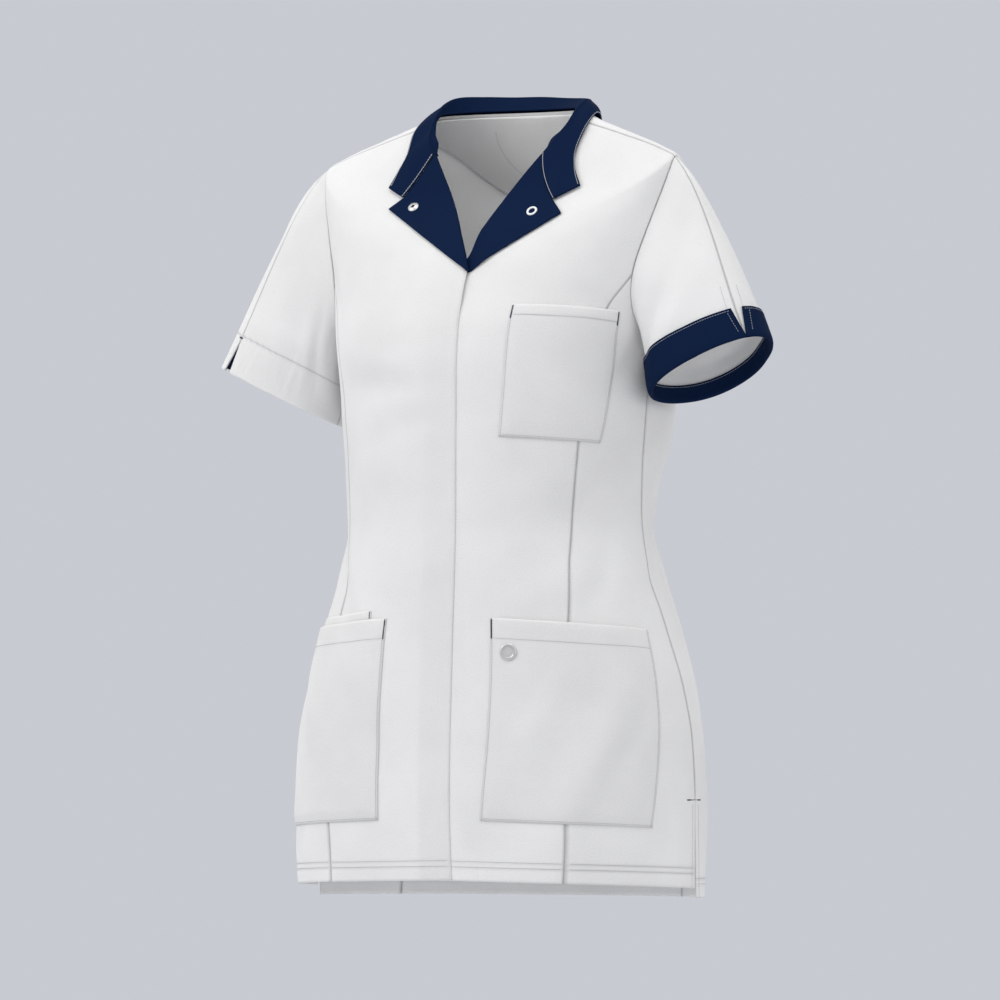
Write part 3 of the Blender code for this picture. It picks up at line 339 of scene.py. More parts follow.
HIP_POCKET_RIGHT = HIP_POCKET[:3] + ((17.2, -69.9),)
GORGE_BOW = {"right": 0.06, "left": 0.42}     # how far the gorge bows towards the opening
GORGE_RAISE = 0.085
LAPEL_BEGIN = {"right": (-1.8, -15.8), "left": (0.7, -15.9)}   # a lapel's lowest inner point
FOOT_ROWS = 2
FOOT_ROUNDING = 12
FACING_FINE = 10
# ---- steps of the collar and the lapels ----
STAND_STEPS = 16
CREST_STEPS = 12
LEAF_STEPS = 48
COLLAR_FINE = 14
LAPEL_FINE_ROWS = 12
LAPEL_FINE = 9
WRAP_FINE = 4
CUFF_STEPS = 16
FLOOR = -1.30


def smooth(table, column, at):
    """A curve through one column of a table, by slopes that never overshoot."""
    data = np.asarray(table, float)
    keys = data[:, 0]
    values = data[:, column]
    at = np.asarray(at, float)
    step = np.diff(keys)
    slope = np.diff(values) / step
    tangent = np.zeros_like(values)
    before, after = slope[:-1], slope[1:]
    heavy = 2.0 * step[1:] + step[:-1]
    light = step[1:] + 2.0 * step[:-1]
    rising = before * after > 0.0
    safe_before = np.where(rising, before, 1.0)
    safe_after = np.where(rising, after, 1.0)
    mean = (heavy + light) / (heavy / safe_before + light / safe_after)
    tangent[1:-1] = np.where(rising, mean, 0.0)
    tangent[0], tangent[-1] = slope[0], slope[-1]
    cell = np.clip(np.searchsorted(keys, at) - 1, 0, len(step) - 1)
    t = (at - keys[cell]) / step[cell]
    width = step[cell]
    start = (2 * t**3 - 3 * t**2 + 1) * values[cell] + (t**3 - 2 * t**2 + t) * width * tangent[cell]
    end = (3 * t**2 - 2 * t**3) * values[cell + 1] + (t**3 - t**2) * width * tangent[cell + 1]
    return start + end


def ring(column, level):
    return smooth(RINGS, RING_COLUMNS.index(column), level)


def bare_body(angle, level):
    """The body without folds: a rounded ring at each level, tilted above the armholes."""
    angle, level = np.broadcast_arrays(np.asarray(angle, float), np.asarray(level, float))
    turn = np.radians(angle)
    s, c = np.sin(turn), np.cos(turn)
    power = ring("square", level)
    reach = (np.abs(s) ** power + np.abs(c) ** power) ** (-1.0 / power)
    side_y = ring("side_y", level)
    far_y = np.where(c > 0.0, ring("front_y", level), ring("back_y", level)) - side_y
    far_z = np.where(c > 0.0, ring("front_z", level), ring("back_z", level)) - level
    x = ring("half_width", level) * s * reach
    y = side_y + far_y * np.abs(c) * reach
    rise = np.clip((level - TIP_LEVEL) / (RINGS[-1][0] - TIP_LEVEL), 0.0, 1.0)
    drop = ring("drop", level) * np.where(c < 0.0, 1.0 - BACK_FLAT * rise, 1.0)
    back = np.where(c < 0.0, 1.0 - (1.0 - np.abs(c)) ** 2, 0.0)
    z = level + far_z * np.abs(c) ** drop + rise * back * NECK_RAISE
    return np.stack([x, y, z], -1)


def outward(angle, level):
    """Unit normals of the body, pointing out of it."""
    round_step, up_step = 1.0, 0.1
    along = bare_body(angle + round_step, level) - bare_body(angle - round_step, level)
    rise = bare_body(angle, level + up_step) - bare_body(angle, level - up_step)
    normal = np.cross(along, rise)
    return normal / np.linalg.norm(normal, axis=-1, keepdims=True)


def fold_depth(angle, level):
    """Sum of the folds: each falls off as a bell along and across its line."""
    total = np.zeros(np.broadcast(angle, level).shape)
    for at, height, half_length, half_width, slope, depth in FOLDS + SOFT_FOLDS:
        du = np.radians(np.mod(angle - at + 180.0, 360.0) - 180.0) * FOLD_RADIUS
        dv = level - height
        tilt = math.radians(slope)
        along = du * math.cos(tilt) + dv * math.sin(tilt)
        across = dv * math.cos(tilt) - du * math.sin(tilt)
        total = total + depth * np.exp(-(along / half_length) ** 2 - (across / half_width) ** 2)
    return total


def body(angle, level, lift=0.0):
    """Points on the worn body, moved out by lift."""
    angle, level = np.broadcast_arrays(np.asarray(angle, float), np.asarray(level, float))
    out = fold_depth(angle, level) + lift
    return bare_body(angle, level) + outward(angle, level) * out[..., None]


def angle_at(from_centre, level, back=False):
    """The angle at which a ring is this far from the centre line."""
    power = ring("square", level)
    part = np.clip(np.abs(from_centre) / ring("half_width", level), 0.0, 1.0)
    other = (1.0 - part**power) ** (1.0 / power)
    angle = np.degrees(np.arctan2(part, other)) * np.sign(from_centre)
    return 180.0 - angle if back else angle


def on_front(x, z):
    """Angle and level of the point of the front at a distance from the centre and a height."""
    x, z = np.broadcast_arrays(np.asarray(x, float), np.asarray(z, float))
    low = np.full(x.shape, -78.0)
    high = np.full(x.shape, RINGS[-1][0])
    for _ in range(30):
        middle = (low + high) / 2.0
        height = bare_body(angle_at(x, middle), middle)[..., 2]
        beyond = (np.abs(x) > ring("half_width", middle)) & (middle > TIP_LEVEL)
        too_high = (height > z) | beyond
        high = np.where(too_high, middle, high)
        low = np.where(too_high, low, middle)
    level = (low + high) / 2.0
    return np.stack([angle_at(x, level), level], -1)


def armhole(turn):
    """Angle and level on the armhole; the turn starts at the shoulder tip and goes over the front."""
    turn = np.radians(np.asarray(turn, float))
    rise = np.cos(turn)
    level = (TIP_LEVEL + ARMPIT) / 2.0 + (TIP_LEVEL - ARMPIT) / 2.0 * rise
    share = (1.0 + rise) / 2.0
    centre = SIDE_SEAM[-1][1] * (1.0 - share) + SHOULDER_SEAM[0][1] * share
    half = np.where(np.sin(turn) > 0.0, ARMHOLE_FRONT, ARMHOLE_BACK)
    angle = centre - half * np.sin(turn) * (1.0 - ARMHOLE_SKEW * rise)
    return np.stack([angle, level], -1)


# ---------------------------------------------------------------- seam lines

SLIT_LEVELS = 3
BODY_LEVELS = 15
UNDER_JOIN = 4            # rows from the armpit up to the long seams' ends
OVER_JOIN = 7             # rows from there to the shoulder tip
CHEST_ROWS = 2            # rows of the fronts' edges from the armpit's level to the break
ROLL_ROWS = 5             # along the roll line
NECK_ROWS = 3             # and along the neckline
SHOULDER_ROWS = 4         # rows of the back along the shoulder seam


def level_rows(hem):
    """Levels of the rows from the hem up to the armpit."""
    slit = np.linspace(hem, SLIT_TOP, SLIT_LEVELS * FINE_ROWS + 1)
    trunk = np.linspace(SLIT_TOP, ARMPIT, BODY_LEVELS * FINE_ROWS + 1)
    return np.concatenate([slit, trunk[1:]])


def seam_by_distance(table, join, back, hem):
    """A long seam: up the body through its table, then on to where it meets the armhole."""
    levels = level_rows(hem)
    end = armhole(join)
    key = np.asarray(table, float)
    edge = bare_body(end[0], end[1])[0]
    full = np.vstack([key, [end[1], edge]])
    upper = np.linspace(ARMPIT, end[1], UNDER_JOIN * FINE_ROWS + 1)[1:]
    every = np.concatenate([levels, upper])
    distance = smooth(full, 1, every)
    line = np.stack([angle_at(distance, every, back), every], -1)
    line[-1] = end
    return line


def side_line(hem, spread):
    levels = level_rows(hem)
    below = np.clip((SLIT_TOP - levels) / (SLIT_TOP - HEM_SIDE), 0.0, None)
    return np.stack([smooth(SIDE_SEAM, 1, levels) + spread * below, levels], -1)


def armhole_line(start, end, count):
    return armhole(np.linspace(start, end, count + 1))


def straight(start, end, count):
    share = np.linspace(0.0, 1.0, count + 1)[:, None]
    return np.asarray(start, float) * (1.0 - share) + np.asarray(end, float) * share


def shoulder_line(count):
    """The shoulder seam from the neckline out to the tip."""
    levels = np.linspace(SHOULDER_SEAM[-1][0], TIP_LEVEL, count + 1)
    return np.stack([smooth(SHOULDER_SEAM, 1, levels), levels], -1)


def roll_line(name, foot, count):
    """Distance and height on the roll line, from its foot up to the collar's seam, a little hollow."""
    line = straight(foot, LAPELS[name][1], count)
    share = np.linspace(0.0, 1.0, count + 1)
    line[:, 0] -= ROLL_HOLLOW[name] * np.sin(np.pi * share)
    return line


def patch(left, right, bottom, top):
    """A four-sided piece: every inner point blends its two side lines and its two end lines."""
    rows, columns = len(left), len(bottom)
    v = np.linspace(0.0, 1.0, rows)[:, None, None]
    u = np.linspace(0.0, 1.0, columns)[None, :, None]
    across = left[:, None] * (1.0 - u) + right[:, None] * u
    up = bottom[None] * (1.0 - v) + top[None] * v
    corners = (bottom[0] * (1 - u) + bottom[-1] * u) * (1 - v) + (top[0] * (1 - u) + top[-1] * u) * v
    return across + up - corners


def hem_ring(turn, size):
    """The sleeve's end: a rounded ring through its outer, front, inner and back points."""
    outer_x, outer_z, inner_x, inner_z, centre_y, half_depth, front_rise, _, waver = size
    turn = np.radians(np.asarray(turn, float))
    outer = np.array([(outer_x - inner_x) / 2.0, 0.0, (outer_z - inner_z) / 2.0])
    front = np.array([0.0, -half_depth, front_rise])
    centre = np.array([(outer_x + inner_x) / 2.0, centre_y, (outer_z + inner_z) / 2.0])
    swell = (1.0 + waver * np.cos(3.0 * (turn - math.radians(WAVER_TURN))))[..., None]
    return centre + (outer * np.cos(turn)[..., None] + front * np.sin(turn)[..., None]) * swell


def sleeve_axis(size):
    """Unit direction in which the sleeve leaves its hem ring."""
    outer_x, outer_z, inner_x, inner_z, _, half_depth, front_rise, _, _ = size
    outer = np.array([outer_x - inner_x, 0.0, outer_z - inner_z])
    front = np.array([0.0, -half_depth, front_rise])
    axis = np.cross(front, outer)
    return axis / np.linalg.norm(axis) * (-1.0 if axis[2] > 0.0 else 1.0)


def sleeve_surface(turn, share, size):
    """The sleeve: each lengthwise line is a curve from the armhole to the hem ring. Lines near
    the top seam move forward round the sleeve on their way down."""
    turn, share = np.broadcast_arrays(np.asarray(turn, float), np.asarray(share, float))
    forward = size[SLEEVE_COLUMNS.index("seam_forward")]
    turn = turn + forward * (1.0 - (1.0 - share) ** 2) * (1.0 + np.cos(np.radians(turn))) / 2.0
    place = armhole(turn)
    start = body(place[..., 0], place[..., 1])
    normal = outward(place[..., 0], place[..., 1])
    end = hem_ring(turn, size)
    axis = sleeve_axis(size)
    length = np.linalg.norm(end - start, axis=-1, keepdims=True)
    crown = ((1.0 + np.cos(np.radians(turn))) / 2.0) ** 3
    leave = axis + (LEAVE_SIDE + LEAVE_CROWN * crown)[..., None] * normal
    leave = leave / np.linalg.norm(leave, axis=-1, keepdims=True)
    start = start + leave * SLEEVE_START
    t = share[..., None]
    a = (2 * t**3 - 3 * t**2 + 1) * start + (t**3 - 2 * t**2 + t) * leave * length * LEAVE_LENGTH
    b = (3 * t**2 - 2 * t**3) * end + (t**3 - t**2) * axis * length * ARRIVE_LENGTH
    return a + b


def sleeve_lifted(turn, share, size, lift):
    """Points moved out from the sleeve's surface."""
    turn, share = np.broadcast_arrays(np.asarray(turn, float), np.asarray(share, float))
    middle = sleeve_surface(turn, share, size)
    along = sleeve_surface(turn + 2.0, share, size) - sleeve_surface(turn - 2.0, share, size)
    down = sleeve_surface(turn, share + 0.01, size) - sleeve_surface(turn, share - 0.01, size)
    normal = np.cross(along, down)
    normal = normal / np.linalg.norm(normal, axis=-1, keepdims=True)
    return middle + normal * np.asarray(lift, float)[..., None]


def share_above_hem(turn, distance, size):
    """The place on each lengthwise line that lies this far above the hem."""
    near = sleeve_surface(turn, 1.0, size) - sleeve_surface(turn, NEAR_HEM, size)
    return 1.0 - distance * (1.0 - NEAR_HEM) / np.linalg.norm(near, axis=-1)


def mirrored(points, side):
    return points * np.array([side, 1.0, 1.0])


# columns: distance beyond the roll line, lift
WRAP = ((-0.55, -0.18), (-0.05, -0.18), (0.13, -0.10), (0.19, 0.06), (0.12, 0.22))


def tilted(row, side):
    """A row of the collar's table with its fold raised or lowered by the collar's tilt."""
    behind = min(max((row[0] - TILT_FADE) / (180.0 - TILT_FADE), 0.0) * 4.0, 1.0)
    return row[:3] + (row[3] - side * row[1] * COLLAR_TILT * behind,) + row[4:]


def dip(x, z):
    """How far the left front sinks where it runs under the right one."""
    reach = np.clip((UNDER_EDGE - x) / UNDER_RAMP, 0.0, 1.0)
    below = np.clip((UNDER_START - z) / UNDER_FALL, 0.0, 1.0)
    back_up = np.clip((UNDER_RISE - z) / UNDER_BACK, 0.0, 1.0)
    depth = UNDER_DEPTH + (UNDER_LEAST - UNDER_DEPTH) * back_up * back_up * (3.0 - 2.0 * back_up)
    return -depth * reach * reach * (3.0 - 2.0 * reach) * below * below * (3.0 - 2.0 * below)



# ---------------------------------------------------------------- cloth grids

def through(points, count):
    """A smooth line through every point of the first axis: each stretch is a cubic whose
    slopes at its two ends are half the step from the point before to the point after."""
    padded = np.concatenate([[2 * points[0] - points[1]], points, [2 * points[-1] - points[-2]]])
    t = np.arange(0, (len(points) - 1) * count + 1) / count
    cell = np.minimum(t.astype(int), len(points) - 2)
    f = (t - cell).reshape((-1,) + (1,) * (points.ndim - 1))
    a, b, c, d = padded[cell], padded[cell + 1], padded[cell + 2], padded[cell + 3]
    square, cube = 2 * a - 5 * b + 4 * c - d, 3 * b - a - 3 * c + d
    return 0.5 * (2 * b + (c - a) * f + square * f**2 + cube * f**3)


def dense(points, count):
    """A straight-sided line through every point of the first axis, with count steps between two."""
    t = np.arange(0, (len(points) - 1) * count + 1) / count
    cell = np.minimum(t.astype(int), len(points) - 2)
    f = (t - cell).reshape((-1,) + (1,) * (points.ndim - 1))
    return points[cell] * (1 - f) + points[cell + 1] * f


def grid_normals(points, middle):
    """Unit normals of a grid: the cross product of its two differences, turned to point away
    from the points of middle."""
    normal = np.cross(np.gradient(points, axis=1), np.gradient(points, axis=0))
    normal = normal / np.maximum(np.linalg.norm(normal, axis=-1, keepdims=True), 1e-9)
    return normal * (1.0 if np.sum(normal * (points - middle)) > 0.0 else -1.0)


def along(line):
    """Length along a line at each of its points."""
    return np.concatenate([[0.0], np.cumsum(np.linalg.norm(np.diff(line, axis=0), axis=1))])


def reach(points):
    """Distances over a grid from each of its four edges, summed step by step along its lines."""
    across = np.linalg.norm(np.diff(points, axis=1), axis=-1)
    up = np.linalg.norm(np.diff(points, axis=0), axis=-1)
    left = np.concatenate([np.zeros((len(points), 1)), np.cumsum(across, 1)], 1)
    bottom = np.concatenate([np.zeros((1, points.shape[1])), np.cumsum(up, 0)], 0)
    return {"left": left, "right": left[:, -1:] - left, "bottom": bottom, "top": bottom[-1:] - bottom}


def ripple(s, period, seed):
    """A wavering wave along a seam: two sines of unlike length whose height drifts slowly."""
    main = np.sin(2 * np.pi * s / period + 1.7 * np.sin(2 * np.pi * s / (period * 5.3) + seed))
    other = 0.6 * np.sin(2 * np.pi * s / (period * 1.63) + seed * 2.1)
    drift = 0.55 + 0.45 * np.sin(2 * np.pi * s / (period * 7.9) + seed * 1.3)
    return (main + other) * drift / 1.6


def bell(distance, width):
    """A soft bump: the exponential of minus the square of distance over width."""
    return np.exp(-(distance / width) ** 2)


def swapped(edges):
    """The same edges seen from the other side: left and right change places."""
    other = {"left": "right", "right": "left"}
    return {other.get(edge, edge): kind for edge, kind in edges.items()}


def sewn(points, normal, edges):
    """A grid with its sewn edges let in. A seam sinks as a bell and ripples beside it; a hem
    has a groove under each row of stitching and ripples between them; a patch's edge is drawn
    down. Ripples die out towards every seam. Gives the points and a mask of painted shade in the drawn-in places."""
    far = reach(points)
    height = np.zeros(points.shape[:2])
    # Painted shade, kept as a mask: darker colour in seam grooves, along stitched rows and at sewn-on edges.
    painted_shade = np.zeros(points.shape[:2])
    calm = np.ones(points.shape[:2])
    for edge, (kind, _) in edges.items():
        if kind in ("seam", "scye", "slit"):
            calm = calm * (1.0 - bell(far[edge], 0.35))
    for edge, (kind, seed) in edges.items():
        d = far[edge]
        s = far["bottom"] if edge in ("left", "right") else far["left"]
        wave = ripple(s, 0.95, seed)
        if kind in ("seam", "scye", "slit"):
            held = 1.0
            if kind == "slit":
                held = np.clip((points[..., 2] - SLIT_TOP) / 0.8, 0.0, 1.0)
            sink = bell(d, SEAM_REACH) * held
            height += PUCKER * wave * np.exp(-d / PUCKER_REACH) * (1.0 - bell(d, SEAM_REACH))
            height -= SEAM_SINK * sink
            if kind == "scye":
                height += 0.04 * bell(d - 0.38, 0.25) * (1.0 + 0.5 * wave)
            painted_shade = np.maximum(painted_shade, bell(d, 0.065) * held)
        elif kind in ("hem", "sleeve_hem"):
            rows = (HEM_STITCH, HEM_STITCH + HEM_SECOND) if kind == "hem" else (SLEEVE_HEM,)
            for at in rows:
                height -= 0.032 * bell(d - at, 0.10)
                painted_shade = np.maximum(painted_shade, 0.5 * bell(d - at, 0.10))
            height += 0.036 * wave * bell(d - rows[0] * 0.6, 0.65 * rows[0]) * calm
        elif kind == "pocket":
            height += 0.026 * wave * np.exp(-d / 0.9) * (1.0 - 0.6 * bell(d, 0.3))
            height -= 0.02 * bell(d - EDGE_STITCH, 0.06)
            painted_shade = np.maximum(painted_shade, 0.55 * bell(d, 0.05))
        elif kind == "topstitch":
            height += 0.012 * wave * np.exp(-d / 0.8) - 0.025 * bell(d - COLLAR_STITCH, 0.06)
            painted_shade = np.maximum(painted_shade, 0.5 * bell(d - COLLAR_STITCH, 0.06))
        else:
            height += 0.014 * wave * np.exp(-d / 0.8) * calm - 0.015 * bell(d, 0.08)
    return points + normal * height[..., None], painted_shade


# ---------------------------------------------------------------- meshes

def add_mesh(name, verts, faces, uv=None, mask=None, shade="white_cloth"):
    """A mesh from arrays of points (metres) and four-sided or many-sided faces."""
    mesh = bpy.data.meshes.new(name)
    faces = [np.asarray(block, np.int32) for block in faces]
    loops = np.concatenate([block.ravel() for block in faces])
    sizes = np.concatenate([np.full(len(block), block.shape[1], np.int32) for block in faces])
    starts = np.concatenate([[0], np.cumsum(sizes)[:-1]]).astype(np.int32)
    mesh.vertices.add(len(verts))
    mesh.vertices.foreach_set("co", np.ascontiguousarray(verts, np.float32).ravel())
    mesh.loops.add(len(loops))
    mesh.loops.foreach_set("vertex_index", loops)
    mesh.polygons.add(len(sizes))
    mesh.polygons.foreach_set("loop_start", starts)
    mesh.polygons.foreach_set("loop_total", sizes)
    mesh.update(calc_edges=True)
    mesh.validate()
    if uv is not None:
        layer = mesh.uv_layers.new(name="cloth")
        layer.data.foreach_set("uv", np.ascontiguousarray(uv[loops], np.float32).ravel())
    # The mask is painted shade in grooves and hollows, stored as a point attribute.
    if mask is not None:
        painted_shade = mesh.attributes.new("painted_shade", "FLOAT", "POINT")
        painted_shade.data.foreach_set("value", mask.ravel().astype(np.float32))
    mesh.shade_smooth()
    piece = bpy.data.objects.new(name, mesh)
    bpy.context.scene.collection.objects.link(piece)
    mesh.materials.append(bpy.data.materials["tunic_" + shade])
    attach(piece, "root")
    return piece


def grid_faces(rows, columns):
    """Four-sided faces of a grid of points, numbered row by row."""
    corner = (np.arange(rows - 1)[:, None] * columns + np.arange(columns - 1)[None]).ravel()
    return np.stack([corner, corner + 1, corner + columns + 1, corner + columns], -1)


def cloth(name, node, points, mask, wall, shade):
    """One cut piece: a grid of points (centimetres) with a wall, laid in place of its plain solid."""
    rows, columns = points.shape[:2]
    far = reach(points)
    uv = np.stack([far["left"] + points[:, :1, 0], far["bottom"] + points[:1, :, 2]], -1).reshape(-1, 2)
    piece = add_mesh(name, points.reshape(-1, 3) * CM, [grid_faces(rows, columns)], uv, mask, shade)
    shell = piece.modifiers.new("wall", "SOLIDIFY")
    shell.thickness = wall
    shell.offset = 0.0
    width = float(far["left"][:, -1].max()) * CM
    length = float(far["bottom"][-1].max()) * CM
    step_across = np.linalg.norm(np.diff(points, axis=1), axis=-1)
    step_up = np.linalg.norm(np.diff(points, axis=0), axis=-1)
    cells = (step_across[1:] + step_across[:-1]) * (step_up[:, 1:] + step_up[:, :-1]) / 4.0
    area = float(np.sum(cells)) * CM * CM
    area = min(max(area, 0.301 * width * length), width * length)
    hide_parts(node)
    return piece


def sampled(at, run, line):
    """Places on a line at given lengths along it."""
    return np.stack([np.interp(at, run, line[:, k]) for k in range(3)], -1)


def line_along(points, normal, edge, distance, start=0.0, end=0.0):
    """The line on a grid that keeps a distance from one edge, with its normals: on each grid
    line it lies between the two points whose distances enclose it. start and end trim it."""
    far = reach(points)[edge]
    if edge in ("left", "right"):
        points, normal, far = points.swapaxes(0, 1), normal.swapaxes(0, 1), far.T
    if edge in ("right", "top"):
        points, normal, far = points[::-1], normal[::-1], far[::-1]
    low = np.clip((far < distance).sum(0) - 1, 0, len(far) - 2)[None]
    near, beyond = np.take_along_axis(far, low, 0)[0], np.take_along_axis(far, low + 1, 0)[0]
    t = np.clip((distance - near) / np.maximum(beyond - near, 1e-6), 0.0, 1.0)[:, None]
    low = low[..., None]

    def between(field):
        before, after = np.take_along_axis(field, low, 0)[0], np.take_along_axis(field, low + 1, 0)[0]
        return before * (1 - t) + after * t

    line, out = between(points), between(normal)
    run = along(line)
    keep = (run >= start) & (run <= run[-1] - end)
    return line[keep], out[keep]


def stitch_run(name, lines, pitch, length, thick, shade):
    """Rows of stitches. Each is a four-sided thread of four rings whose ends dive into the
    cloth; rings lie at set shares of its length along the line, raised by the wall and by
    their own small arch."""
    shares = np.array([-0.5, -0.24, 0.24, 0.5])
    radii = np.array([0.45, 1.0, 1.0, 0.45]) * thick / 2.0
    arch = np.array([-0.5, 0.35, 0.35, -0.5]) * thick / 2.0
    turn = np.radians([45.0, 135.0, 225.0, 315.0])
    blocks = []
    for line, out, lift in lines:
        run = along(line)
        count = int(run[-1] / pitch)
        if count < 1:
            continue
        at = (np.arange(count) + 0.5) * run[-1] / count
        place = sampled(at[:, None] + shares * length, run, line)
        up = sampled(at, run, out)
        ahead = place[:, -1] - place[:, 0]
        ahead = ahead / np.maximum(np.linalg.norm(ahead, axis=1, keepdims=True), 1e-9)
        beside = np.cross(ahead, up)
        beside = beside / np.maximum(np.linalg.norm(beside, axis=1, keepdims=True), 1e-9)
        up = np.cross(beside, ahead)
        centre = place + up[:, None] * (lift + arch)[None, :, None]
        offset = beside[:, None] * np.cos(turn)[None, :, None]
        offset = offset + up[:, None] * np.sin(turn)[None, :, None]
        blocks.append(centre[:, :, None] + offset[:, None] * radii[None, :, None, None])
    rings = np.concatenate(blocks)
    count = len(rings)
    ring = np.arange(count)[:, None, None] * 16 + np.arange(3)[None, :, None] * 4
    first = ring + np.arange(4)[None, None]
    after = ring + ((np.arange(4) + 1) % 4)[None, None]
    sides = np.stack([first, first + 4, after + 4, after], -1).reshape(-1, 4)
    start = np.arange(count)[:, None] * 16
    caps = np.concatenate([start + np.array([0, 1, 2, 3]), start + np.array([15, 14, 13, 12])])
    piece = add_mesh(name, rings.reshape(-1, 3) * CM, [sides, caps], shade=shade)
    return piece


def bartack(ends, outs, width, height, pitch):
    """A dense bar of thread between two places with normals: an oval tube along the line whose
    size swells and falls with each thread that crosses it."""
    (start, end), (start_out, end_out) = ends, outs
    steps, sides = 44, 10
    t = np.linspace(0.0, 1.0, steps + 1)[:, None]
    line = start * (1 - t) + end * t
    up = start_out * (1 - t) + end_out * t
    up = up / np.linalg.norm(up, axis=1, keepdims=True)
    ahead = (end - start) / np.linalg.norm(end - start)
    beside = np.cross(ahead, up)
    span = np.linalg.norm(end - start)
    swell = 1.0 + 0.16 * np.sin(2 * np.pi * t[:, 0] * span / pitch)
    swell = swell * np.minimum(1.0, 0.35 + np.minimum(t[:, 0], 1 - t[:, 0]) * 12.0)
    turn = np.arange(sides) / sides * 2 * np.pi
    ring = (beside[:, None] * (np.cos(turn) * width / 2)[None, :, None]
            + up[:, None] * (np.sin(turn) * height / 2)[None, :, None]) * swell[:, None, None]
    verts = (line[:, None] + ring).reshape(-1, 3)
    first = np.arange(steps)[:, None] * sides + np.arange(sides)[None]
    after = np.arange(steps)[:, None] * sides + ((np.arange(sides) + 1) % sides)[None]
    tube = np.stack([first, first + sides, after + sides, after], -1).reshape(-1, 4)
    caps = np.stack([np.arange(sides), (steps + 1) * sides - 1 - np.arange(sides)])
    return verts, tube, caps


# ---------------------------------------------------------------- finishes

def group(name, inputs, outputs):
    """An empty shader node group with named sockets, each given as a name and a kind."""
    tree = bpy.data.node_groups.new(name, "ShaderNodeTree")
    for label, kind in inputs:
        tree.interface.new_socket(label, in_out="INPUT", socket_type=kind)
    for label, kind in outputs:
        tree.interface.new_socket(label, in_out="OUTPUT", socket_type=kind)
    return tree, tree.nodes.new("NodeGroupInput"), tree.nodes.new("NodeGroupOutput")


def math_node(tree, operation, *values):
    """A Math node whose inputs are numbers or sockets."""
    node = tree.nodes.new("ShaderNodeMath")
    node.operation = operation
    for number, value in enumerate(values):
        if isinstance(value, (int, float)):
            node.inputs[number].default_value = value
        else:
            tree.links.new(value, node.inputs[number])
    return node.outputs[0]


def noise_node(tree, vector, scale, detail):
    """The value of a noise at a place."""
    node = tree.nodes.new("ShaderNodeTexNoise")
    tree.links.new(vector, node.inputs["Vector"])
    node.inputs["Scale"].default_value = scale
    node.inputs["Detail"].default_value = detail
    return node.outputs["Fac"]


def twill_group():
    """Slanting ribs of a twill: the sine of the sum of the two cloth directions, in threads to
    the centimetre, broken by a slow wander and by the finer threads that cross it."""
    tree, source, sink = group("twill", [("Cloth", "NodeSocketVector"), ("Threads", "NodeSocketFloat")],
                               [("Height", "NodeSocketFloat"), ("Tone", "NodeSocketFloat")])
    split = tree.nodes.new("ShaderNodeSeparateXYZ")
    tree.links.new(source.outputs["Cloth"], split.inputs[0])
    wander = noise_node(tree, source.outputs["Cloth"], 1.3, 2.0)
    slant = math_node(tree, "ADD", split.outputs[0], split.outputs[1])
    slant = math_node(tree, "ADD", slant, math_node(tree, "MULTIPLY", wander, 0.12))
    turns = math_node(tree, "MULTIPLY", slant, source.outputs["Threads"])
    turns = math_node(tree, "MULTIPLY", turns, 2 * math.pi)
    rib = math_node(tree, "SINE", turns)
    cross = math_node(tree, "MULTIPLY", math_node(tree, "MULTIPLY", split.outputs[0],
                                                  source.outputs["Threads"]), 4.6 * math.pi)
    cross = math_node(tree, "MULTIPLY", math_node(tree, "SINE", cross), 0.35)
    both = math_node(tree, "ADD", rib, cross)
    tree.links.new(math_node(tree, "MULTIPLY_ADD", both, 0.37, 0.5), sink.inputs["Height"])
    slub = noise_node(tree, source.outputs["Cloth"], 6.0, 3.0)
    tone = math_node(tree, "MULTIPLY_ADD", both, 0.12, slub)
    tree.links.new(tone, sink.inputs["Tone"])
    return tree


def handle_group():
    """What pressing and wearing leave in cloth: broad soft unevenness and small crumples."""
    tree, source, sink = group("handle", [("Place", "NodeSocketVector"), ("Crumple", "NodeSocketFloat")],
                               [("Height", "NodeSocketFloat"), ("Tone", "NodeSocketFloat")])
    broad = noise_node(tree, source.outputs["Place"], 14.0, 2.0)
    small = noise_node(tree, source.outputs["Place"], 85.0, 3.0)
    small = math_node(tree, "MULTIPLY", small, source.outputs["Crumple"])
    tree.links.new(math_node(tree, "ADD", broad, small), sink.inputs["Height"])
    tree.links.new(noise_node(tree, source.outputs["Place"], 9.0, 4.0), sink.inputs["Tone"])
    return tree


def mix_colour(tree, amount, first, second):
    """A colour between two, each given as a value or a socket."""
    node = tree.nodes.new("ShaderNodeMix")
    node.data_type = "RGBA"
    tree.links.new(amount, node.inputs["Factor"])
    for number, value in ((6, first), (7, second)):
        if isinstance(value, (tuple, list)):
            node.inputs[number].default_value = value
        else:
            tree.links.new(value, node.inputs[number])
    return node.outputs[2]


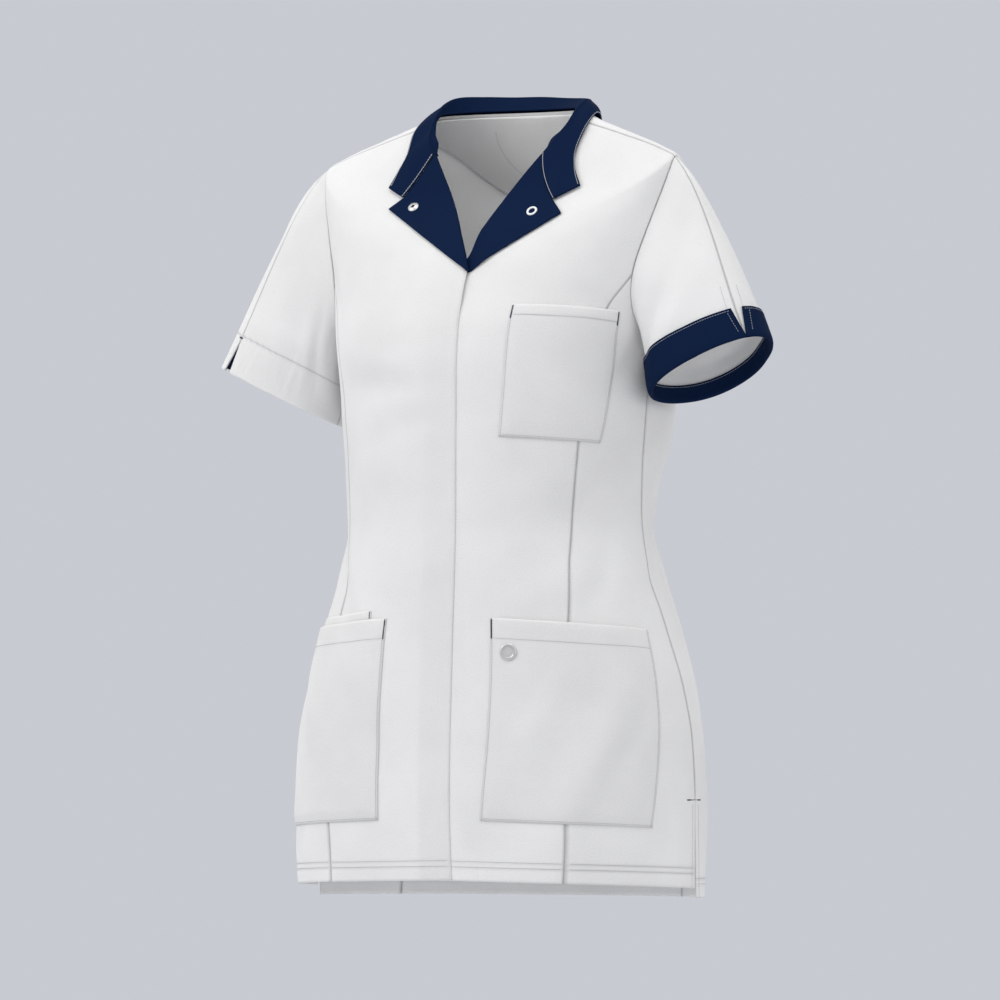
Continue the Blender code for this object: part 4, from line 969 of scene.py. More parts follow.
def cloth_finish(name, colour, shadow, roughness, sheen, glow, gleam):
    """Matt cotton-blend twill: its ribs and slubs, soft unevenness and painted shade in the drawn-in places."""
    finish = bpy.data.materials.new("tunic_" + name)
    finish.use_nodes = True
    tree = finish.node_tree
    shader = tree.nodes["Principled BSDF"]
    shader.inputs["Sheen Weight"].default_value = sheen
    shader.inputs["Sheen Roughness"].default_value = 0.5
    shader.inputs["Subsurface Weight"].default_value = glow
    shader.inputs["Subsurface Radius"].default_value = (1.0, 1.0, 1.0)
    shader.inputs["Subsurface Scale"].default_value = 0.003
    shader.inputs["Specular IOR Level"].default_value = gleam
    where = tree.nodes.new("ShaderNodeTexCoord")
    twill = tree.nodes.new("ShaderNodeGroup")
    twill.node_tree = bpy.data.node_groups["twill"]
    twill.inputs["Threads"].default_value = 14.0
    tree.links.new(where.outputs["UV"], twill.inputs["Cloth"])
    handle = tree.nodes.new("ShaderNodeGroup")
    handle.node_tree = bpy.data.node_groups["handle"]
    handle.inputs["Crumple"].default_value = 0.22
    tree.links.new(where.outputs["Object"], handle.inputs["Place"])
    # Painted shade from the mask darkens seam grooves and stitched rows towards the shadow colour; the cloth's
    # random tone and twill tone add a little darkening everywhere.
    painted_shade = tree.nodes.new("ShaderNodeAttribute")
    painted_shade.attribute_name = "painted_shade"
    worn = math_node(tree, "MULTIPLY_ADD", handle.outputs["Tone"], 0.5, -0.22)
    worn = math_node(tree, "MULTIPLY_ADD", twill.outputs["Tone"], 0.30, worn)
    dark = math_node(tree, "MULTIPLY_ADD", painted_shade.outputs["Fac"], 0.60, worn)
    dark = math_node(tree, "MAXIMUM", dark, 0.0)
    tree.links.new(mix_colour(tree, dark, colour, shadow), shader.inputs["Base Color"])
    tree.links.new(math_node(tree, "MULTIPLY_ADD", twill.outputs["Tone"], 0.10, roughness - 0.06),
                   shader.inputs["Roughness"])
    ribs = tree.nodes.new("ShaderNodeBump")
    ribs.inputs["Strength"].default_value = 0.35
    ribs.inputs["Distance"].default_value = 0.0002
    tree.links.new(twill.outputs["Height"], ribs.inputs["Height"])
    soft = tree.nodes.new("ShaderNodeBump")
    soft.inputs["Strength"].default_value = 0.5
    soft.inputs["Distance"].default_value = 0.0012
    tree.links.new(handle.outputs["Height"], soft.inputs["Height"])
    tree.links.new(ribs.outputs["Normal"], soft.inputs["Normal"])
    tree.links.new(soft.outputs["Normal"], shader.inputs["Normal"])
    return finish


def thread_finish(name, colour, darker):
    """Spun thread: fine slanting plies seen as light and dark bands."""
    finish = bpy.data.materials.new("tunic_" + name)
    finish.use_nodes = True
    tree = finish.node_tree
    shader = tree.nodes["Principled BSDF"]
    shader.inputs["Roughness"].default_value = 0.6
    shader.inputs["Sheen Weight"].default_value = 0.3
    where = tree.nodes.new("ShaderNodeTexCoord")
    plies = noise_node(tree, where.outputs["Object"], 1900.0, 2.0)
    tree.links.new(mix_colour(tree, plies, colour, darker), shader.inputs["Base Color"])
    bump = tree.nodes.new("ShaderNodeBump")
    bump.inputs["Distance"].default_value = 0.0001
    tree.links.new(plies, bump.inputs["Height"])
    tree.links.new(bump.outputs["Normal"], shader.inputs["Normal"])
    return finish


def metal_finish(name, colour, dark, roughness, metallic):
    """Stamped metal or moulded plastic: fine scuffs, and painted shade in hollows where the mask says so."""
    finish = bpy.data.materials.new("tunic_" + name)
    finish.use_nodes = True
    tree = finish.node_tree
    shader = tree.nodes["Principled BSDF"]
    shader.inputs["Metallic"].default_value = metallic
    where = tree.nodes.new("ShaderNodeTexCoord")
    scuffs = noise_node(tree, where.outputs["Object"], 700.0, 4.0)
    # The mask is painted shade: the socket's sunken cup and the foot of the disc's raised rim.
    painted_shade = tree.nodes.new("ShaderNodeAttribute")
    painted_shade.attribute_name = "painted_shade"
    tree.links.new(mix_colour(tree, painted_shade.outputs["Fac"], colour, dark), shader.inputs["Base Color"])
    tree.links.new(math_node(tree, "MULTIPLY_ADD", scuffs, 0.25, roughness - 0.12),
                   shader.inputs["Roughness"])
    bump = tree.nodes.new("ShaderNodeBump")
    bump.inputs["Strength"].default_value = 0.2
    bump.inputs["Distance"].default_value = 0.0001
    tree.links.new(scuffs, bump.inputs["Height"])
    tree.links.new(bump.outputs["Normal"], shader.inputs["Normal"])
    return finish


# columns: roughness, sheen, light let through, gleam
WHITE_HANDLE = (0.88, 0.04, 0.5, 0.25)
NAVY_HANDLE = (0.85, 0.0, 0.0, 0.05)


def shaded(colour, share=1.0):
    """A colour darkened to a share of itself, with full alpha."""
    return tuple(share * c for c in colour) + (1.0,)


def make_finishes(colours):
    """All the finishes, from the colours of the panel."""
    twill_group()
    handle_group()
    white, navy, thread = colours.white, colours.navy, colours.white_thread
    cloth_finish("white_cloth", shaded(white), shaded(white, 0.50), *WHITE_HANDLE)
    cloth_finish("navy_cloth", shaded(navy), shaded(navy, 0.45), *NAVY_HANDLE)
    thread_finish("white_thread", shaded(thread), shaded(thread, 0.8))
    thread_finish("navy_thread", shaded(navy), shaded(navy, 0.5))
    metal_finish("steel", (0.66, 0.66, 0.67, 1.0), (0.03, 0.03, 0.035, 1.0), 0.30, 1.0)
    metal_finish("white_plastic", (0.86, 0.87, 0.88, 1.0), (0.5, 0.5, 0.52, 1.0), 0.36, 0.0)


# ---------------------------------------------------------------- body

STITCHES = []             # each row of stitching: its line, its normals and half the wall under it
EDGE_LINES = []           # the closer, thicker rows on the collar and its seams
TACKS = []                # each bartack: its two ends, their normals and its width


def stitch(line, out, lift=STITCH_LIFT):
    """Note a row of stitching that lies lift above the middle of the cloth."""
    if len(line) > 1:
        STITCHES.append((line, out, lift))


def front_edge(name):
    """Inner edge of a front: past the centre line up to the break, the roll line, the neckline."""
    levels = level_rows(HEM_FRONT)
    foot = LAPELS[name][0]
    trunk = np.stack([angle_at(np.full(len(levels), -OVERLAP), levels), levels], -1)
    start = (-OVERLAP, -TIP_OF_V) if name == "right" else (-OVERLAP, -TIP_OF_V - LEFT_BREAK)
    chest = straight(trunk[-1], on_front(*start), CHEST_ROWS * FINE_ROWS)[1:]
    roll = roll_line(name, foot, ROLL_ROWS * FINE_ROWS)
    roll = on_front(roll[:, 0], roll[:, 1])
    neck = straight(roll[-1], SHOULDER_SEAM[-1][::-1], NECK_ROWS * FINE_ROWS)[1:]
    return np.concatenate([trunk, chest, roll, neck])


def hem_rows(start, end):
    """The hem's two rows of stitching, held back from its ends."""
    return [("bottom", distance, start, end) for distance in (HEM_STITCH, HEM_STITCH + HEM_SECOND)]


def lay(name, node, grid, side, lift, edges, wall, hems=()):
    """A patch of the body, sewn at its edges, turned the right way and put in place."""
    flat_angle = grid[..., 0] * side
    points = body(flat_angle, grid[..., 1], lift)
    normal = outward(flat_angle, grid[..., 1])
    if side < 0.0:
        points, normal = points[:, ::-1], normal[:, ::-1]
        edges = swapped(edges)
        hems = [(edge, distance, end, start) for edge, distance, start, end in hems]
    points, painted_shade = sewn(points, normal, edges)
    for edge, distance, start, end in hems:
        stitch(*line_along(points, normal, edge, distance, start, end))
    return cloth(name, node, points, painted_shade, wall, "white_cloth"), points, normal


def make_front(name, side, wall):
    """A front: from its free edge to the long seam and the armhole, up to the shoulder."""
    left = front_edge(name)
    seam = seam_by_distance(FRONT_SEAM, JOIN_FRONT, False, HEM_FRONT - HEM_RUN)
    scye = armhole_line(JOIN_FRONT, 0.0, len(left) - len(seam))
    right = np.concatenate([seam, scye[1:]])
    bottom = straight(left[0], right[0], FRONT_COLUMNS * FRONT_FINE)
    grid = patch(left, right, bottom, shoulder_line(FRONT_COLUMNS * FRONT_FINE))
    lift = np.zeros(grid.shape[:2])
    if name == "left":
        bare = bare_body(grid[..., 0], grid[..., 1])
        lift = dip(bare[..., 0], bare[..., 2])
    edges = {"left": ("fold", 5.0), "right": ("seam", 1.0 + side), "bottom": ("hem", 2.0),
             "top": ("seam", 3.0 + side)}
    hems = hem_rows(0.1, 0.05)
    lay("front_" + name + "_cloth", "front_" + name, grid, side, lift, edges, wall, hems)


def make_side(name, side, seam, join, side_seam, wall):
    """A side piece between a long seam and the side seam, up to the armhole."""
    back = join == JOIN_BACK
    scye = armhole_line(180.0, join, UNDER_JOIN * FINE_ROWS)
    outer = np.concatenate([side_seam, scye[1:]])
    bottom = straight(seam[0], outer[0], SIDE_COLUMNS * SIDE_FINE)
    top = straight(seam[-1], outer[-1], SIDE_COLUMNS * SIDE_FINE)
    grid = patch(seam, outer, bottom, top)
    seed = (4.0 if back else 1.0) + side
    edges = {"left": ("seam", seed), "right": ("slit", 6.0 + side), "bottom": ("hem", 2.0),
             "top": ("seam", 7.0)}
    hems = hem_rows(0.05, 0.1)
    if back:
        grid = grid[:, ::-1]
        edges = swapped(edges)
        hems = hem_rows(0.1, 0.05)
    _, points, normal = lay(name + "_cloth", name, grid, side, 0.0, edges, wall, hems)
    slit_edge = "left" if back == (side > 0.0) else "right"
    line, out = line_along(points, normal, slit_edge, SLIT_STITCH)
    low = line[:, 2] < SLIT_TOP - 0.2
    stitch(line[low], out[low])


def make_back(wall):
    """The back between its long seams, up to the shoulders and the neckline."""
    seam = seam_by_distance(BACK_SEAM, JOIN_BACK, True, HEM_BACK)
    scye = armhole_line(JOIN_BACK, 360.0, OVER_JOIN * FINE_ROWS)
    shoulder = shoulder_line(SHOULDER_ROWS * FINE_ROWS)[::-1]
    half = np.concatenate([seam, scye[1:], shoulder[1:]])
    left = half.copy()
    left[:, 0] = 360.0 - half[:, 0]
    bottom = straight(half[0], left[0], BACK_COLUMNS * BACK_FINE)
    top = straight(half[-1], left[-1], BACK_COLUMNS * BACK_FINE)
    grid = patch(half, left, bottom, top)
    edges = {"left": ("seam", 5.0), "right": ("seam", 3.0), "bottom": ("hem", 2.0), "top": ("seam", 9.0)}
    hems = hem_rows(0.05, 0.05)
    lay("back_centre_cloth", "back_centre", grid, 1.0, 0.0, edges, wall, hems)


# columns: angle, level of the half-moon sewn on the back neck's facing
MOON = ((150.0, 0.2), (156.5, -0.7), (170.0, -2.0), (180.0, -2.6))
MOON_START = 152.0


def make_neck_facing(wall):
    """Facing inside the back neck: from the neckline down to a pointed lower edge."""
    angles = np.linspace(FACING_START, 180.0, FACING_COLUMNS * FACING_FINE + 1)
    edge = smooth(FACING_EDGE, 1, angles)
    edge = np.concatenate([edge, edge[-2::-1]])
    angles = np.concatenate([angles, 360.0 - angles[-2::-1]])
    share = np.linspace(0.0, 1.0, FACING_ROWS * FACING_FINE + 1)[:, None]
    levels = edge[None] * (1.0 - share) + FACING_TOP * share
    angles = np.broadcast_to(angles, levels.shape)
    points = body(angles, levels, -FACING_DEPTH)
    normal = outward(angles, levels)
    edges = {"bottom": ("edge", 1.0), "left": ("seam", 2.0), "right": ("seam", 3.0)}
    points, painted_shade = sewn(points, normal, edges)
    cloth("neck_facing_cloth", "neck_facing_back", points, painted_shade, wall, "white_cloth")
    stitch(*line_along(points, -normal, "bottom", EDGE_STITCH, 0.3, 0.3))
    turn = np.linspace(MOON_START, 180.0, 40)
    level = smooth(MOON, 1, turn)
    turn, level = np.concatenate([turn, 360.0 - turn[-2::-1]]), np.concatenate([level, level[-2::-1]])
    stitch(body(turn, level, -FACING_DEPTH), -outward(turn, level))


def make_body_pieces(wall):
    """The fronts, sides and back, and the facing of the back neck."""
    for name, side in (("right", -1.0), ("left", 1.0)):
        make_front(name, side, wall)
        seam = seam_by_distance(FRONT_SEAM, JOIN_FRONT, False, HEM_FRONT - HEM_RUN)
        make_side("front_side_" + name, side, seam, JOIN_FRONT, side_line(HEM_SIDE, -SLIT_SPREAD), wall)
        seam = seam_by_distance(BACK_SEAM, JOIN_BACK, True, HEM_BACK)
        make_side("back_side_" + name, side, seam, JOIN_BACK, side_line(HEM_BACK, SLIT_SPREAD), wall)
    make_back(wall)
    make_neck_facing(wall)


# ---------------------------------------------------------------- pockets

def on_body(corners):
    """Angles and levels of corners given as distance from the centre and height."""
    return [on_front(*corner) for corner in corners]


def pocket(name, node, corners, side, lift, near, columns, rows, band, wall):
    """A patch pocket: straight sides between four corners on the front. It lies close at its
    sewn edges, stands off by lift within them, and its mouth gapes a little."""
    inner_top, outer_top, outer_foot, inner_foot = corners
    grid = patch(straight(inner_foot, inner_top, rows), straight(outer_foot, outer_top, rows),
                 straight(inner_foot, outer_foot, columns), straight(inner_top, outer_top, columns))
    if side < 0.0:
        grid = grid[:, ::-1]
    angle = grid[..., 0] * side
    far = reach(body(angle, grid[..., 1]))
    inside = np.minimum(np.minimum(far["left"], far["right"]), far["bottom"])
    share = np.clip(inside / POCKET_RISE, 0.0, 1.0)
    share = share * share * (3.0 - 2.0 * share)
    height = near + (lift - near) * share
    gape = np.clip(np.minimum(far["left"], far["right"]) / GAPE_ACROSS, 0.0, 1.0) ** GAPE_POWER
    height = height + POCKET_GAPE * bell(far["top"], GAPE_DOWN) * gape
    points = body(angle, grid[..., 1], height)
    normal = outward(angle, grid[..., 1])
    edges = {"left": ("pocket", 1.0 + side), "right": ("pocket", 4.0 + side),
             "bottom": ("pocket", 2.0 - side)}
    points, painted_shade = sewn(points, normal, edges)
    # A groove under the band's stitching, with painted shade in it.
    groove = bell(reach(points)["top"] - band, 0.07)
    points = points - normal * (0.025 * groove)[..., None]
    painted_shade = np.maximum(painted_shade, 0.45 * groove)
    piece = cloth(name, node, points, painted_shade, wall, "white_cloth")
    for edge in ("left", "right", "bottom"):
        stitch(*line_along(points, normal, edge, EDGE_STITCH, EDGE_STITCH * (edge == "bottom"), 0.0))
    stitch(*line_along(points, normal, "top", band, EDGE_STITCH, EDGE_STITCH))
    return points, normal


def tack(points, normal, edge, inset, start, length, width=TACK_WIDTH):
    """A bartack on a grid: from start to start plus length along the line at inset from an edge.
    A start below nothing is counted from the line's end."""
    line, out = line_along(points, normal, edge, inset)
    run = along(line)
    if start < 0.0:
        start = run[-1] + start
    at = np.array([start, start + length])
    place, up = sampled(at, run, line), sampled(at, run, out)
    up = up / np.linalg.norm(up, axis=1, keepdims=True)
    TACKS.append((place + up * 0.05, up, width))


# columns: piece, node, corners, side, lift within, lift at the edges, columns, rows, band, lies on
POCKETS = (
    ("chest_pocket_cloth", "chest_pocket", on_body(CHEST_POCKET), 1.0, 0.20, 0.115, 54, 64,
     CHEST_BAND, ("front_left",)),
    ("hip_pocket_left_cloth", "hip_pocket_left", HIP_POCKET, 1.0, 0.22, 0.115, 66, 96,
     HIP_BAND, ("front_left", "front_side_left")),
    ("inner_pocket_cloth", "inner_pocket_right", on_body(INNER_POCKET), -1.0, 0.17, 0.11, 44, 26,
     INNER_BAND, ("front_right", "front_side_right")),
    ("hip_pocket_right_cloth", "hip_pocket_right", HIP_POCKET_RIGHT, -1.0, 0.30, 0.115, 66, 96,
     HIP_BAND, ("front_right", "front_side_right")),
)


def make_pockets(wall):
    """The four patch pockets, each with the bartacks at its top corners."""
    for name, node, corners, side, lift, near, columns, rows, band, rests_on in POCKETS:
        points, normal = pocket(name, node, corners, side, lift, near, columns, rows, band, wall)
        inner, outer = ("left", "right") if side > 0.0 else ("right", "left")
        if node == "chest_pocket":
            tack(points, normal, inner, 0.16, -1.5, 1.4)
            tack(points, normal, outer, 0.16, -1.5, 1.4)
        elif node == "inner_pocket_right":
            tack(points, normal, inner, 0.14, -0.75, 0.65, width=0.10)
        else:
            tack(points, normal, inner, 0.16, -2.1, 2.0)


# ---------------------------------------------------------------- sleeves

def sleeve_dents(turn, share, name):
    """Height of the sleeve's dents: each is a bell whose middle shifts round with the share."""
    total = np.zeros(np.broadcast(turn, share).shape)
    for at, along, half_turn, half_share, lean, depth in SLEEVE_FOLDS[name]:
        dt = np.mod(turn - at - lean * 60.0 * (share - along) + 180.0, 360.0) - 180.0
        total = total + depth * np.exp(-(dt / half_turn) ** 2 - ((share - along) / half_share) ** 2)
    ends = np.clip(share / 0.15, 0.0, 1.0) * np.clip((1.06 - share) / 0.2, 0.0, 1.0)
    return total * ends


def sleeve_frame(turn, share, name, lift=0.0):
    """Points and outward normals of a dented sleeve, moved out by lift."""
    size = SLEEVE_HEMS[name]
    turn, share = np.broadcast_arrays(np.asarray(turn, float), np.asarray(share, float))
    points = sleeve_lifted(turn, share, size, sleeve_dents(turn, share, name) + lift)
    along = sleeve_surface(turn + 2.0, share, size) - sleeve_surface(turn - 2.0, share, size)
    down = sleeve_surface(turn, share + 0.01, size) - sleeve_surface(turn, share - 0.01, size)
    normal = np.cross(along, down)
    return points, normal / np.linalg.norm(normal, axis=-1, keepdims=True)


def half_turns(half):
    """Turns of the columns of a sleeve's front or back half."""
    start, join, end, before, after = (
        (0.0, JOIN_FRONT, 180.0, OVER_FRONT, UNDER_JOIN) if half == "front"
        else (180.0, JOIN_BACK, 360.0, UNDER_JOIN, OVER_JOIN))
    first = np.linspace(start, join, before * SLEEVE_FINE_COLUMNS + 1)
    return np.concatenate([first, np.linspace(join, end, after * SLEEVE_FINE_COLUMNS + 1)[1:]])


def place_sleeve(name, node, points, normal, edges, side, wall, shade, stitches=()):
    """Mirror a right-hand grid where needed, sew its edges and put it in place."""
    points, normal = mirrored(points, side), mirrored(normal, side)
    if side < 0.0:
        points, normal = points[:, ::-1], normal[:, ::-1]
        edges = swapped(edges)
    points, painted_shade = sewn(points, normal, edges)
    cloth(name, node, points, painted_shade, wall, shade)
    for edge, distance, start, end in stitches:
        stitch(*line_along(points, normal, edge, distance, start, end))
    return points, normal


def make_sleeve(name, side, wall):
    """The front and back halves of a sleeve; the right one parts at its slit."""
    share = np.linspace(0.0, 1.0, SLEEVE_ROWS * SLEEVE_FINE_ROWS + 1)[:, None]
    size = SLEEVE_HEMS[name]
    opening = name == "right"
    for half in ("front", "back"):
        turns = half_turns(half)
        points, normal = sleeve_frame(turns, share, name)
        if opening:
            column, step_to = (0, 3) if half == "front" else (-1, -4)
            last = share_above_hem(turns[column:][:1], SLIT_DEPTH, size)[0]
            part = np.clip((share[:, 0] - last) / (1.0 - last), 0.0, 1.0)
            step = points[:, step_to] - points[:, column]
            step = step / np.linalg.norm(step, axis=-1, keepdims=True)
            far = np.linalg.norm(points - points[:, column:][:, :1], axis=-1)
            ease = np.clip(1.0 - far / 4.0, 0.0, 1.0) ** 2
            points = points + step[:, None] * (part[:, None] * ease * SLIT_HALF)[..., None]
        top_edge, under_edge = ("left", "right") if half == "front" else ("right", "left")
        edges = {top_edge: ("seam", 1.0 + side), under_edge: ("seam", 3.0 + side),
                 "bottom": ("scye", 5.0 + side)}
        stitches = ()
        if opening:
            edges["top"] = ("sleeve_hem", 2.0)
            stitches = (("top", SLEEVE_HEM, 0.05, 0.05),)
        node = "sleeve_" + half + "_" + name
        points, normal = place_sleeve(node + "_cloth", node, points, normal, edges, side, wall, "white_cloth",
                                      stitches)
        if not opening:
            line, out = line_along(points, normal, top_edge, SLIT_SIDE, 0.0, CUFF_DEPTH)
            near = np.linalg.norm(line - line[-1], axis=1) < SLIT_SIDE_LENGTH
            stitch(line[near], out[near])


def ring_grid(rows, name, gap_of, wave):
    """A band round a sleeve from rows of height above the hem and lift; its ends part at the
    slit by gap_of each row, and the whole wavers a little."""
    size = SLEEVE_HEMS[name]
    turns = np.concatenate([half_turns("front"), half_turns("back")[1:]])
    lines, normals = [], []
    for height, lift in rows:
        share = share_above_hem(turns, height, size)
        wobble = wave * ripple(turns / 14.0, 2.3, 1.0)
        points, normal = sleeve_frame(turns, share, name, lift + wobble)
        length = along(points)
        gap = gap_of(height, lift)
        at = gap + (length[-1] - 2 * gap) * length / length[-1]
        lines.append(sampled(at, length, points))
        normals.append(sampled(at, length, normal))
    return np.array(lines), np.array(normals)


# columns: height above the hem, lift. The band, the round of its fold, the part inside
CUFF_SECTION = (
    (CUFF_DEPTH, 0.30), (CUFF_DEPTH * 0.5, 0.27), (0.25, 0.24), (-0.12, 0.17), (-0.20, 0.02),
    (-0.10, -0.12), (0.15, -0.15), (FACING_IN, -0.15),
)


def make_cuff(wall):
    """The left sleeve's facing: down outside the sleeve, round its fold and up again inside."""
    profile = np.array(CUFF_SECTION)
    run = along(profile)
    shown = np.linspace(0.0, run[2], CUFF_STEPS + 1)
    rounded = np.linspace(run[2], run[6], CUFF_STEPS + 1)[1:]
    steps = np.concatenate([shown, rounded, np.linspace(run[6], run[7], CUFF_STEPS // 2 + 1)[1:]])
    fine = np.stack([np.interp(steps, run, profile[:, k]) for k in (0, 1)], -1)
    for _ in range(3):
        fine[1:-1] = (fine[:-2] + 2 * fine[1:-1] + fine[2:]) / 4.0

    def gap(height, lift):
        return 0.02 + SLIT_HALF * max(0.0, height / CUFF_DEPTH) * (lift > 0.0)

    points, normal = ring_grid(fine, "left", gap, 0.035)
    edges = {"bottom": ("edge", 2.0), "left": ("edge", 3.0), "right": ("edge", 4.0)}
    place_sleeve("cuff_left_cloth", "cuff_left", points, normal, edges, 1.0, wall, "navy_cloth")
    shown, out = points[:CUFF_STEPS + 2], normal[:CUFF_STEPS + 2]
    stitch(*line_along(shown, out, "bottom", 0.25, 0.1, 0.1))
    stitch(*line_along(shown, out, "left", 0.55, 0.25, 0.1))
    stitch(*line_along(shown, out, "right", 0.8, 0.25, 0.1))
    inside, out = points[-CUFF_STEPS // 2:], -normal[-CUFF_STEPS // 2:]
    stitch(*line_along(inside, out, "top", 0.2))


def make_hem_facing(wall):
    """Facing inside the right sleeve's hem, parted at the slit."""
    def gap(height, lift):
        return 0.02 + (SLIT_HALF + 0.1) * max(0.0, 1.0 - height / SLIT_DEPTH)

    heights = np.linspace(0.12, SLIT_DEPTH + FACING_IN, 20)
    points, normal = ring_grid([(height, -0.15) for height in heights], "right", gap, 0.0)
    edges = {"top": ("edge", 2.0)}
    place_sleeve("hem_facing_cloth", "hem_facing_right", points, normal, edges, -1.0, wall, "navy_cloth")


def make_sleeves(wall):
    """Both sleeves, the left one's cuff and the right one's facing and bartack."""
    for name, side in (("right", -1.0), ("left", 1.0)):
        make_sleeve(name, side, wall)
    make_cuff(wall)
    make_hem_facing(wall)
    turn = np.array([-1.0, 1.0]) * SLEEVE_TACK
    share = share_above_hem(turn, SLIT_DEPTH + 0.1, SLEEVE_HEMS["right"])
    place, out = sleeve_frame(turn, share, "right", 0.08)
    place, out = mirrored(place, -1.0), mirrored(out, -1.0)
    TACKS.append((place, out, TACK_WIDTH))


# ---------------------------------------------------------------- collar and lapels

def curve_through(start, middle, end, count):
    """A parabola that passes its middle point halfway."""
    t = np.linspace(0.0, 1.0, count + 1)[:, None]
    bend = 2.0 * middle - (start + end) / 2.0
    return (1 - t) ** 2 * start + 2 * t * (1 - t) * bend + t**2 * end


def collar_section(row):
    """One section of the collar: up the stand, over the fold and down the bowed leaf."""
    angle, fold_x, fold_y, fold_z, edge_angle, edge_level, bulge = row
    foot = body(angle, COLLAR_FOOT, 0.02)
    fold = np.array([fold_x, fold_y, fold_z])
    edge = body(edge_angle, edge_level, COLLAR_LIFT)
    out = np.array([fold_x, fold_y - NECK_CENTRE, 0.0])
    out = out / np.linalg.norm(out)
    crest = fold + out * FOLD_ROUND[0]
    over = crest + out * FOLD_ROUND[1] + np.array([0.0, 0.0, FOLD_ROUND[2]])
    bow = (over + edge) / 2.0 + out * bulge
    stand_top = fold - np.array([0.0, 0.0, STAND_BELOW])
    share = np.linspace(0.0, 1.0, STAND_STEPS + 1)[:, None]
    stand = foot * (1.0 - share) + stand_top * share
    t = np.linspace(0.0, 1.0, LEAF_STEPS + 1)[:, None]
    leaf = (1 - t) ** 2 * over + 2 * t * (1 - t) * bow + t**2 * edge
    return np.concatenate([stand, curve_through(stand_top, crest, over, CREST_STEPS)[1:], leaf[1:]])


def gorge_line(name, share):
    """Places along the seam between collar and lapel, bowed towards the opening by a parabola."""
    _, start, notch, _, _, _ = LAPELS[name]
    start, notch = np.array(start), np.array(notch)
    share = np.asarray(share, float)[:, None]
    bow = GORGE_BOW[name] * 4.0 * share * (1.0 - share)
    return start + (notch - start) * share + np.array([-1.0, -0.25]) * bow


def collar_finish(name):
    """The collar's front end: round the roll, along the gorge to the notch and out to the corner."""
    _, start, notch, _, corner, _ = LAPELS[name]
    corner = np.array(corner) + GORGE_APART
    share = np.linspace(0.0, 1.0, CREST_STEPS // 2 + 1)[1:] / 3.0
    share = np.concatenate([share, np.linspace(1.0, 3.0, LEAF_STEPS // 2 + 1)[1:] / 3.0])
    gorge = gorge_line(name, share) + GORGE_APART
    t = np.linspace(0.0, 1.0, LEAF_STEPS - LEAF_STEPS // 2 + 1)[1:, None]
    line = np.concatenate([gorge, gorge[-1] + (corner - gorge[-1]) * t])
    start = np.array(start) + GORGE_APART
    place = on_front(line[:, 0], line[:, 1])
    shown = body(place[:, 0], place[:, 1], COLLAR_LIFT)
    at = on_front(*start)
    begin = body(at[0], at[1], COLLAR_LIFT)
    under = body(at[0], at[1] + UNDER_COLLAR[0], UNDER_COLLAR[1])
    hook = under + np.array(COLLAR_HOOK)
    stand = dense(hook, STAND_STEPS // 2)
    share = np.linspace(0.0, 1.0, CREST_STEPS // 2 + 1)[1:, None]
    return np.concatenate([stand, hook[-1] * (1 - share) + begin * share, shown])


def make_collar(wall):
    """The collar through its sections, from its right front end to its left one."""
    left = [collar_section(tilted(row, 1.0)) for row in COLLAR] + [collar_finish("left")]
    right = [collar_section(tilted(row, -1.0)) for row in COLLAR[1:]] + [collar_finish("right")]
    stations = np.array([mirrored(line, -1.0) for line in right[::-1]] + left)[::-1]
    points = through(stations, COLLAR_FINE)
    middle = np.array([0.0, 2.0, -6.0])
    normal = grid_normals(points, middle)
    edges = {"right": ("topstitch", 1.0), "bottom": ("edge", 2.0), "top": ("edge", 3.0)}
    points, painted_shade = sewn(points, normal, edges)
    cloth("collar_cloth", "collar", points, painted_shade, wall, "navy_cloth")
    leaf = slice(STAND_STEPS + CREST_STEPS // 2, None)
    shown, out = points[:, leaf], normal[:, leaf]
    line, out = line_along(shown, out, "right", COLLAR_STITCH, COLLAR_STITCH, COLLAR_STITCH)
    EDGE_LINES.append((line, out, wall / CM / 2.0))
    for name, side in (("right", -1.0), ("left", 1.0)):
        flat = gorge_line(name, np.linspace(0.0, 1.0, 60)) + GORGE_INSET
        place = on_front(flat[:, 0], flat[:, 1])
        line = body(place[:, 0] * side, place[:, 1], COLLAR_LIFT + GORGE_RAISE)
        EDGE_LINES.append((line, outward(place[:, 0] * side, place[:, 1]), 0.0))


